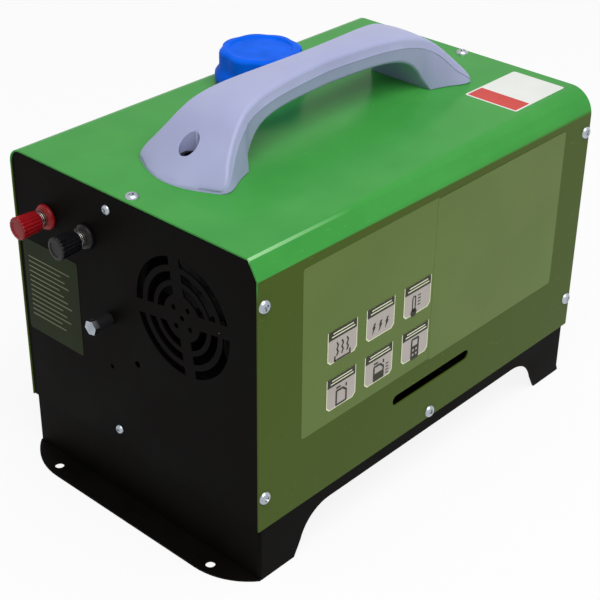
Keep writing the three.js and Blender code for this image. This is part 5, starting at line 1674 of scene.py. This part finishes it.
@dataclass
class FrontFittings:
    """The outlet collar, the control panel and the mains inlet."""

    face: float = PANEL_FACE + SEAT
    outlet: Point = (-50.4, 184.5)  # Y and Z of the middle, as for the two that follow
    control: Point = (72.0, 190.0)
    mains: Point = (62.0, 96.0)
    window: Spot = (60.0, 24.0, 8.0)  # width, height and rise over the control panel's middle
    key_pitch: float = 18.0
    key_drop: float = 15.0  # of the keys below the control panel's middle
    mark: Point = (5.58, 5.66)  # heights of a key mark's ink above the face
    digit_ink: Point = (3.7, 3.75)  # heights of the display's strokes above the face
    rocker_y: float = 17.0  # from the inlet's middle back to the rocker's
    tilt: float = 6.0  # degrees by which the rocker rests tipped

    def collar(self) -> None:
        """Turn the warm-air collar with its rolled lip and flange."""
        flange = [(38, 0), (46.4, 0), (47, 0.5), (47, 1.5), (46.4, 2), (39.6, 2), (38.4, 2.6), (38, 4)]
        lip = [(38, 23.6), (38.15, 24.4), (38.1, 25.4), (37.4, 25.95), (36.8, 25.7), (36.4, 24.8)]
        profile = [(36.4, -13.2), (38, -13.2), *flange, *lip]
        solid = moved(turned(profile, 96), Facing.FRONT.at(self.face, *self.outlet))
        finished(solid, "warm_air_collar", STAINLESS, nodes=["outlet_collar"], edge=0)

    def control_panel(self) -> None:
        """Make the control panel's housing and its display."""
        place = Facing.FRONT.at(self.face, *self.control)
        width, height, rise = self.window
        tools = [plate(rectangle(width, height, 0, rise), 3, 6, 1.5)]
        for step in (-1, 0, 1):
            tools.append(rod(5.3, 0.5, 6, step * self.key_pitch, -self.key_drop, 40))
        front = carved(plate(rectangle(78, 52), 0, 4, 6), *tools)
        housing = moved(merged(front, plate(rectangle(67.4, 41.4), -16, -0.02, 3)), place)
        finished(housing, "control_housing", BLACK_NYLON, nodes=["control_panel"], edge=0.6)
        shape = rectangle(width - 0.6, height - 0.6, 0, rise)
        glass = moved(plate(shape, 3 + SEAT, self.digit_ink[0], 1.3), place)
        finished(glass, "display_window", WINDOW, edge=0.15)
        finished(moved(self.digits(), place), "display_digits", SEGMENTS, edge=0)

    def digits(self) -> BMesh:
        """Draw a temperature in seven-stroke digits, with a degree ring.

        Returns:
            The lit strokes, about the control panel's middle.
        """
        spots = {
            "a": (0, 7, 0), "b": (3.6, 3.5, 90), "c": (3.6, -3.5, 90), "d": (0, -7, 0),
            "e": (-3.6, -3.5, 90), "f": (-3.6, 3.5, 90), "g": (0, 0, 0),
        }
        outline = [(-2.9, 0), (-2.2, -0.7), (2.2, -0.7), (2.9, 0), (2.2, 0.7), (-2.2, 0.7)]
        parts = []
        for lit, x in (("abged", -9.0), ("abcdef", 3.0)):
            for letter in lit:
                dx, dy, turn = spots[letter]
                place = Matrix.Translation((x + dx, self.window[2] + dy, 0)) @ turn_z(turn)
                parts.append(moved(plate(outline, *self.digit_ink), place))
        ring = tube(1.0, 1.7, *self.digit_ink, 24)
        parts.append(moved(ring, Matrix.Translation((10.5, 14.3, 0))))
        return merged(*parts)

    def key_marks(self) -> dict[str, BMesh]:
        """Draw the arrow and power marks of the three keys.

        Returns:
            One drawing for each key.
        """
        arrow = [(-2, -1.2), (2, -1.2), (0, 2.0)]
        ring = carved(tube(1.9, 2.5, *self.mark, 32), plate(rectangle(1.6, 3, 0, 2.4), 5, 6))
        bar = plate(rectangle(0.6, 2.6, 0, 1.7), *self.mark)
        return {
            "down": plate([(x, -y) for x, y in reversed(arrow)], *self.mark),
            "power": merged(ring, bar),
            "up": plate(arrow, *self.mark),
        }

    def keys(self) -> None:
        """Make the three keys with their marks."""
        y, z = self.control
        profile = [(0, 1.8), (5, 1.8), (5, 4.9), (4.7, 5.4), (4.2, 5.6), (0, 5.58)]
        for step, (key, mark) in zip((-1, 0, 1), self.key_marks().items()):
            place = Facing.FRONT.at(self.face, y + step * self.key_pitch, z - self.key_drop)
            body = f"{key}_key"
            cap = moved(turned(profile, 40), place)
            finished(cap, f"{key}_key_cap", KEY_PLASTIC, body, [f"button_{key}"], edge=0)
            finished(moved(mark, place), f"{key}_key_mark", DARK_PRINT, body, edge=0)

    def mains_inlet(self) -> None:
        """Make the inlet's housing with its socket and its three blades."""
        place = Facing.FRONT.at(self.face, *self.mains)
        socket = plate(rectangle(25, 18, 12, 0), -14, 6, 3)
        room = plate(rectangle(21.2, 27.8, -self.rocker_y, 0), -9, 6, 0.8)
        housing = merged(plate(rectangle(62, 48), 0, 3, 3), plate(rectangle(53.4, 39.4), -20, -0.02, 2))
        solid = moved(carved(housing, socket, room), place)
        finished(solid, "mains_housing", BLACK_NYLON, nodes=["mains_inlet"], edge=0.5)
        pins = []
        for step in (-1, 0, 1):
            spot = rectangle(2, 4, 12 + 7 * step, 3 if step == 0 else -3)
            pins.append(plate(spot, -14.5, -3))
        finished(moved(merged(*pins), place), "mains_blades", PLATED_BRASS, edge=0.3)

    def rocker(self) -> None:
        """Make the rocker switch with its on and off marks."""
        rise, half = 3.2, 13.0  # of a tip: above the axis and away from it
        tilt = math.radians(self.tilt)
        tip = rise * math.cos(tilt) + half * math.sin(tilt)
        axis = Vector(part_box("rocker_switch")[1]).x / MM - tip
        spot = Matrix.Translation((axis, self.mains[0] - self.rocker_y, self.mains[1]))
        place = spot @ Matrix.Rotation(tilt, 4, "Y")
        knots = ((rise, half), (1.87, 4.33), (1.87, -4.33), (rise, -half))
        curve = [tuple(p) for p in interpolate_bezier(*(Vector(knot) for knot in knots), 16)]
        shape = [(-4, -7.15), *reversed(curve), (-4, 7.15)]
        paddle = moved(plate(shape, -10, 10), place @ Matrix.Rotation(math.radians(90), 4, "X"))
        finished(paddle, "rocker_paddle", BLACK_PHENOLIC, "rocker", ["rocker_switch"], edge=0.5)
        lift = Matrix.Translation((0, 0, 2.55))  # onto the hollow of the paddle
        on = moved(plate(rectangle(0.9, 5, 0, 7.5), 0, 0.1), lift @ tipped(5, 7.5))
        off = moved(tube(1.7, 2.5, 0, 0.1, 32), lift @ tipped(-5, -7.5) @ Matrix.Translation((0, -7.5, 0)))
        marks = moved(merged(on, off), place @ Facing.FRONT.at(0, 0, 0))
        finished(marks, "rocker_marks", WHITE_PRINT, "rocker", edge=0)

    def build(self) -> None:
        """Make every fitting of the front panel."""
        self.collar()
        self.control_panel()
        self.keys()
        self.mains_inlet()
        self.rocker()


# ---------------------------------------------------------------- films and stickers

INK = (0.42, 0.48)  # heights of a pictogram's ink above the hood


def stroke(width: float, height: float, x: float = 0.0, y: float = 0.0, radius: float = 0.0) -> BMesh:
    """Make one bar of a pictogram.

    Args:
        width, height: the bar's size.
        x, y: where its middle lies.
        radius: radius of its corners.

    Returns:
        The closed bar.
    """
    return plate(rectangle(width, height, x, y), *INK, radius)


@dataclass
class SideFilm:
    """The film on the near side with its six pictogram tiles, and the sticker on top."""

    side: float = 120.0
    hood: float = 253.0
    tile: Point = (30.1, 25.6)
    columns: tuple[float, ...] = (-103.45, -63.85, -23.55)  # X of the tiles' middles
    rows: tuple[float, ...] = (160.5, 122.75)  # Z of the tiles' middles
    cut: float = 2.8  # of a tile's lower corners
    border: float = 0.8
    head: float = 0.27  # share of the tile's height that the head band takes
    sign_scale: float = 1.28
    # name, from and to in X, from and to in Z, height above the hood
    sheets: tuple[tuple[str, float, float, float, float, float], ...] = (
        ("film_rear", -143, -4, 100.5, 232, 0.02), ("film_front", -6, 150, 99, 231, 0.14),
    )
    thickness: float = 0.12
    # heights of a tile's layers above the hood
    edge_ink: Point = (0.26, 0.36)
    field_ink: Point = (0.30, 0.42)
    band_ink: Point = (0.32, 0.48)
    line_ink: Point = (0.46, 0.52)

    def tile_outline(self, inset: float = 0.0) -> list[Point]:
        """Give a tile's outline with its lower corners cut off.

        Args:
            inset: distance inside the tile's edge.

        Returns:
            The outline's corners.
        """
        w, h, c = self.tile[0] / 2 - inset, self.tile[1] / 2 - inset, self.cut
        return [(-w, h), (-w, -h + c), (-w + c, -h), (w - c, -h), (w, -h + c), (w, h)]

    def heat(self) -> BMesh:
        """Draw warm air: three wavy columns over a tray.

        Returns:
            The sign about its tile's middle, as for the five that follow.
        """
        parts = [stroke(13, 1, 0, -6.5), stroke(1, 3.4, -6, -5.2), stroke(1, 3.4, 6, -5.2)]
        for x in (-4, 0, 4):
            for k in range(4):
                slant = Matrix.Translation((x, 2.0 * k - 2.6, 0)) @ turn_z(28 if k % 2 else -28)
                parts.append(moved(stroke(0.9, 2.5), slant))
        return merged(*parts)

    def current(self) -> BMesh:
        """Draw current: three bolts.

        Returns:
            The sign.
        """
        bolt = [(-0.8, 0.2), (0.6, 3.2), (1.9, 3.2), (0.8, 1.0), (2.0, 1.0), (-0.9, -3.4), (0.0, 0.2)]
        spots = [Matrix.Translation((x, -1, 0)) for x in (-6, -0.6, 4.8)]
        return merged(*(moved(plate(bolt, *INK), spot) for spot in spots))

    def temperature(self) -> BMesh:
        """Draw a thermometer with its scale.

        Returns:
            The sign.
        """
        stem = carved(stroke(3.2, 10, -3, 0, 1.5), plate(rectangle(1.6, 8.4, -3, 0), 0, 1, 0.7))
        bulb = rod(2.6, *INK, -3, -5.6, 24)
        return merged(stem, bulb, *(stroke(2.4, 0.6, 1.4, y) for y in (-2, 0, 2, 4)))

    def can(self, filled_to: float, *extra: BMesh) -> BMesh:
        """Draw a fuel can.

        Args:
            filled_to: height up to which it is filled.
            extra: what stands beside it.

        Returns:
            The sign.
        """
        outline = [(-4.5, -6.5), (4.5, -6.5), (4.5, 1.0), (1.5, 3.6), (-4.5, 3.6)]
        inside = [(-3.4, filled_to), (3.4, filled_to), (3.4, 0.5), (1.0, 2.5), (-3.4, 2.5)]
        body = carved(plate(outline, *INK, 0.8), plate(inside, 0, 1))
        return merged(body, stroke(3.4, 1, -2.4, 5.0), stroke(1, 2, 3.9, 4.0), *extra)

    def remote(self) -> BMesh:
        """Draw a remote control.

        Returns:
            The sign.
        """
        holes = [plate(rectangle(4.6, 4, 0, 3), 0, 1)]
        holes += [plate(rectangle(1.6, 1.6, x, y), 0, 1) for x in (-1.4, 1.4) for y in (-1.6, -4.6)]
        return carved(stroke(7, 14, 0, -0.8, 1.2), *holes)

    def pictograms(self) -> list[BMesh]:
        """Draw the six plain pictograms.

        Returns:
            The signs, row by row.
        """
        marks = [stroke(2.2, 0.6, 7.2, y) for y in (-5, -3, -1, 1)]
        return [
            self.heat(), self.current(), self.temperature(),
            self.can(-5.4), self.can(-1.6, *marks), self.remote(),
        ]

    def films(self) -> None:
        """Lay the two overlapping films on the near side."""
        near = Facing.NEAR.at(0, -self.side, 0)
        for name, x0, x1, z0, z1, lift in self.sheets:
            shape = rectangle(x1 - x0, z1 - z0, (x0 + x1) / 2, (z0 + z1) / 2)
            film = moved(plate(shape, lift, lift + self.thickness, 2.5), near)
            finished(film, name, FILM, edge=0.03)

    def tiles(self) -> None:
        """Lay the six tiles: cream edge, grey field, dark head band with two plain bars, and sign."""
        signs = self.pictograms()
        cream, grey, dark = [], [], []
        w, h = self.tile[0] - 2 * self.border, self.tile[1]
        band = self.head * h
        lift = Matrix.Translation((0, -band / 2, 0)) @ Matrix.Scale(self.sign_scale, 4)
        for row, z in enumerate(self.rows):
            for column, x in enumerate(self.columns):
                place = Facing.NEAR.at(x, -self.side, z)
                cream.append(moved(plate(self.tile_outline(), *self.edge_ink), place))
                for k in (1, 2):
                    line = rectangle(w * (0.62 + 0.1 * k), 0.9, 0.6, h / 2 - k * band / 3)
                    cream.append(moved(plate(line, *self.line_ink), place))
                grey.append(moved(plate(self.tile_outline(self.border), *self.field_ink), place))
                top = rectangle(w, band, 0, (h - band) / 2)
                dark.append(moved(plate(top, *self.band_ink), place))
                dark.append(moved(signs[3 * row + column], place @ lift))
        finished(merged(*cream), "tile_edges", CREAM_PRINT, edge=0)
        finished(merged(*grey), "tile_fields", GREY_PRINT, edge=0)
        finished(merged(*dark), "tile_pictograms", DARK_PRINT, edge=0)

    def sticker(self) -> None:
        """Lay the blank white sticker with its red band on top."""
        top = Facing.TOP.at(142, -76.5, self.hood)
        sheet = moved(plate(rectangle(64, 47), 0.02, 0.16, 2), top)
        finished(sheet, "top_sticker", WHITE_PRINT, edge=0.03)
        band = moved(plate(rectangle(18, 44, -21.5, 0), 0.16, 0.2, 1), top)
        finished(band, "top_sticker_band", RED_PRINT, edge=0)

    def build(self) -> None:
        """Lay all films."""
        self.films()
        self.tiles()
        self.sticker()


# ---------------------------------------------------------------- pieces kept from the frame


@dataclass(frozen=True)
class KeptPieces:
    """CAD pieces whose shape is right: they get their real surfaces and even shading."""

    join: float = 0.01  # distance below which loose triangles share their points
    smooth_to: float = 35.0  # degrees up to which an edge is smoothed
    finishes: tuple[tuple[str, Finish], ...] = (
        ("partition_plate", BLACK_COAT),
        ("fuel_tank", POLYETHYLENE),
        ("fuel_pump", CAST_ALUMINIUM),
        ("suction_line", POLYETHYLENE),
        ("delivery_line", POLYETHYLENE),
        ("shell_lower", BLACK_NYLON),
        ("shell_upper", BLACK_NYLON),
        ("heat_exchanger", CAST_ALUMINIUM),
        ("burner_tube", STAINLESS),
        ("blower_motor", ZINC),
        ("rotor_shaft", STAINLESS),
        ("fan_wheel", BLACK_NYLON),
        ("control_unit", BLACK_NYLON),
        ("heater_bracket", ZINC),
        ("exhaust_pipe", STAINLESS),
        ("intake_pipe", BLACK_NYLON),
        ("power_supply", CAST_ALUMINIUM),
    )

    def shading(self) -> bpy.types.NodeTree:
        """Build the node group that joins loose triangles and smooths all but the true edges.

        Returns:
            The geometry node group.
        """
        group = bpy.data.node_groups.new("even shading", "GeometryNodeTree")
        for side in ("INPUT", "OUTPUT"):
            group.interface.new_socket("Geometry", in_out=side, socket_type="NodeSocketGeometry")
        shape = add_node(group, "NodeGroupInput").outputs[0]
        for name in ("custom_normal", "sharp_face"):
            sockets = {"Geometry": shape, "Name": name}
            shape = add_node(group, "GeometryNodeRemoveAttribute", sockets).outputs[0]
        sockets = {"Geometry": shape, "Distance": self.join * MM}
        joined = add_node(group, "GeometryNodeMergeByDistance", sockets).outputs[0]
        angle = add_node(group, "GeometryNodeInputMeshEdgeAngle").outputs[0]
        sockets = {0: angle, 1: math.radians(self.smooth_to)}
        sharp = add_node(group, "ShaderNodeMath", sockets, operation="GREATER_THAN")
        smooth = add_node(group, "GeometryNodeSetShadeSmooth", {"Geometry": joined}, domain="FACE")
        sockets = {"Geometry": smooth.outputs[0], "Selection": sharp.outputs[0], "Shade Smooth": False}
        edges = add_node(group, "GeometryNodeSetShadeSmooth", sockets, domain="EDGE")
        add_node(group, "NodeGroupOutput", {0: edges.outputs[0]})
        return group

    def build(self) -> None:
        """Dress every kept piece."""
        group = self.shading()
        for node, finish in self.finishes:
            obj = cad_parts[node]
            for place in obj.material_slots:
                place.material = material_of(finish)
            obj.modifiers.new("even shading", "NODES").node_group = group
            log.info("%s: kept, %s", node, finish.name)


# ---------------------------------------------------------------- studio


@dataclass(frozen=True)
class Studio:
    """A plain pale floor, soft light and the camera at the photograph's viewpoint."""

    camera_place: Spot = (-0.72506, -0.64416, 0.67928)
    camera_turn: Spot = (59.0679, -0.6465, -47.4663)
    lens: float = 86.83
    floor_size: float = 12.0
    floor_drop: float = 0.3  # of the floor below the object's feet, in millimetres
    fill: float = 0.42  # what the white room adds to the object's light
    floor_glow: float = 0.88  # share of the floor that is plain white; the rest keeps the shadow

    def seen(self, tree: bpy.types.NodeTree) -> Any:
        """Give 1 for rays from the camera or by way of a mirror or glass, else 0.

        Args:
            tree: the tree that the value is for.

        Returns:
            The value's output.
        """
        path = add_node(tree, "ShaderNodeLightPath").outputs
        first = add_node(tree, "ShaderNodeMath", {0: path[0], 1: path["Is Glossy Ray"]}, operation="MAXIMUM")
        sockets = {0: first.outputs[0], 1: path["Is Transmission Ray"]}
        return add_node(tree, "ShaderNodeMath", sockets, operation="MAXIMUM").outputs[0]

    def world(self) -> None:
        """Make the white room: plain white to the eye, softer as a light."""
        world = bpy.data.worlds.new("white room")
        bpy.context.scene.world = world
        world.use_nodes = True
        tree = world.node_tree
        back = tree.nodes["Background"]
        back.inputs["Color"].default_value = (1, 1, 1, 1)
        span = {0: self.seen(tree), 1: 0.0, 2: 1.0, 3: self.fill, 4: 1.0}
        strength = add_node(tree, "ShaderNodeMapRange", span)
        tree.links.new(strength.outputs[0], back.inputs["Strength"])

    def floor(self) -> None:
        """Lay the pale floor, which keeps the object's shadow."""
        bm = bmesh.new()
        bmesh.ops.create_grid(bm, x_segments=2, y_segments=2, size=self.floor_size / 2)
        bmesh.ops.translate(bm, vec=(0, 0, -self.floor_drop * MM), verts=bm.verts)
        obj = as_object(bm, "studio_floor")
        material = bpy.data.materials.new("matt white paper")
        material.use_nodes = True
        tree = material.node_tree
        shader = tree.nodes["Principled BSDF"]
        shader.inputs["Base Color"].default_value = (0.9, 0.9, 0.9, 1)
        shader.inputs["Roughness"].default_value = 0.9
        glow = add_node(tree, "ShaderNodeEmission", {"Color": (1, 1, 1, 1), "Strength": 1.0})
        sockets = {0: self.seen(tree), 1: self.floor_glow}
        share = add_node(tree, "ShaderNodeMath", sockets, operation="MULTIPLY")
        sockets = {0: share.outputs[0], 1: shader.outputs[0], 2: glow.outputs[0]}
        mixed = add_node(tree, "ShaderNodeMixShader", sockets)
        tree.links.new(mixed.outputs[0], tree.nodes["Material Output"].inputs["Surface"])
        obj.data.materials.append(material)

    def lamp(self, name: str, place: Spot, size: float, power: float) -> None:
        """Hang a soft square lamp that looks at the object.

        Args:
            name: its name.
            place: where it hangs, in metres.
            size: its side, in metres.
            power: its light, in watts.
        """
        data = bpy.data.lights.new(name, "AREA")
        data.size = size
        data.energy = power
        data.specular_factor = 0.15  # the gloss paint shows the white room more than the lamp
        obj = bpy.data.objects.new(name, data)
        obj.location = place
        aim = Vector((0, 0, 0.12)) - Vector(place)  # at the middle of the case
        obj.rotation_euler = aim.to_track_quat("-Z", "Y").to_euler()
        bpy.context.scene.collection.objects.link(obj)

    def build(self) -> None:
        """Set up the room, the lamp and the camera."""
        scene = bpy.context.scene
        scene.view_settings.view_transform = "Standard"
        self.world()
        self.floor()
        self.lamp("top softbox", place=(-0.3, -0.85, 2.05), size=1.8, power=37.5)
        data = bpy.data.cameras.new("viewpoint")
        data.lens = self.lens
        camera = bpy.data.objects.new("viewpoint", data)
        camera.location = self.camera_place
        camera.rotation_euler = [math.radians(a) for a in self.camera_turn]
        scene.collection.objects.link(camera)
        scene.camera = camera


# ---------------------------------------------------------------- assembly


def main() -> None:
    """Build the studio and every sub-assembly in order."""
    logging.basicConfig(level=logging.INFO, format="%(message)s")
    case = Case()
    Studio().build()
    Hood(case).build()
    RearPanel(case).build()
    FrontPanel(case).build()
    BaseTray().build()
    Screw().build_all(on_panels=False)
    Screw(head_radius=3.7, head_height=2.4).build_all(on_panels=True)
    Handle().build()
    Filler().build()
    BatteryPost("red", 84.6, RED_PHENOLIC).build()
    BatteryPost("black", 43.2, BLACK_PHENOLIC).build()
    StandOff().build()
    FrontFittings().build()
    SideFilm().build()
    KeptPieces().build()


if __name__ == "__main__":
    main()
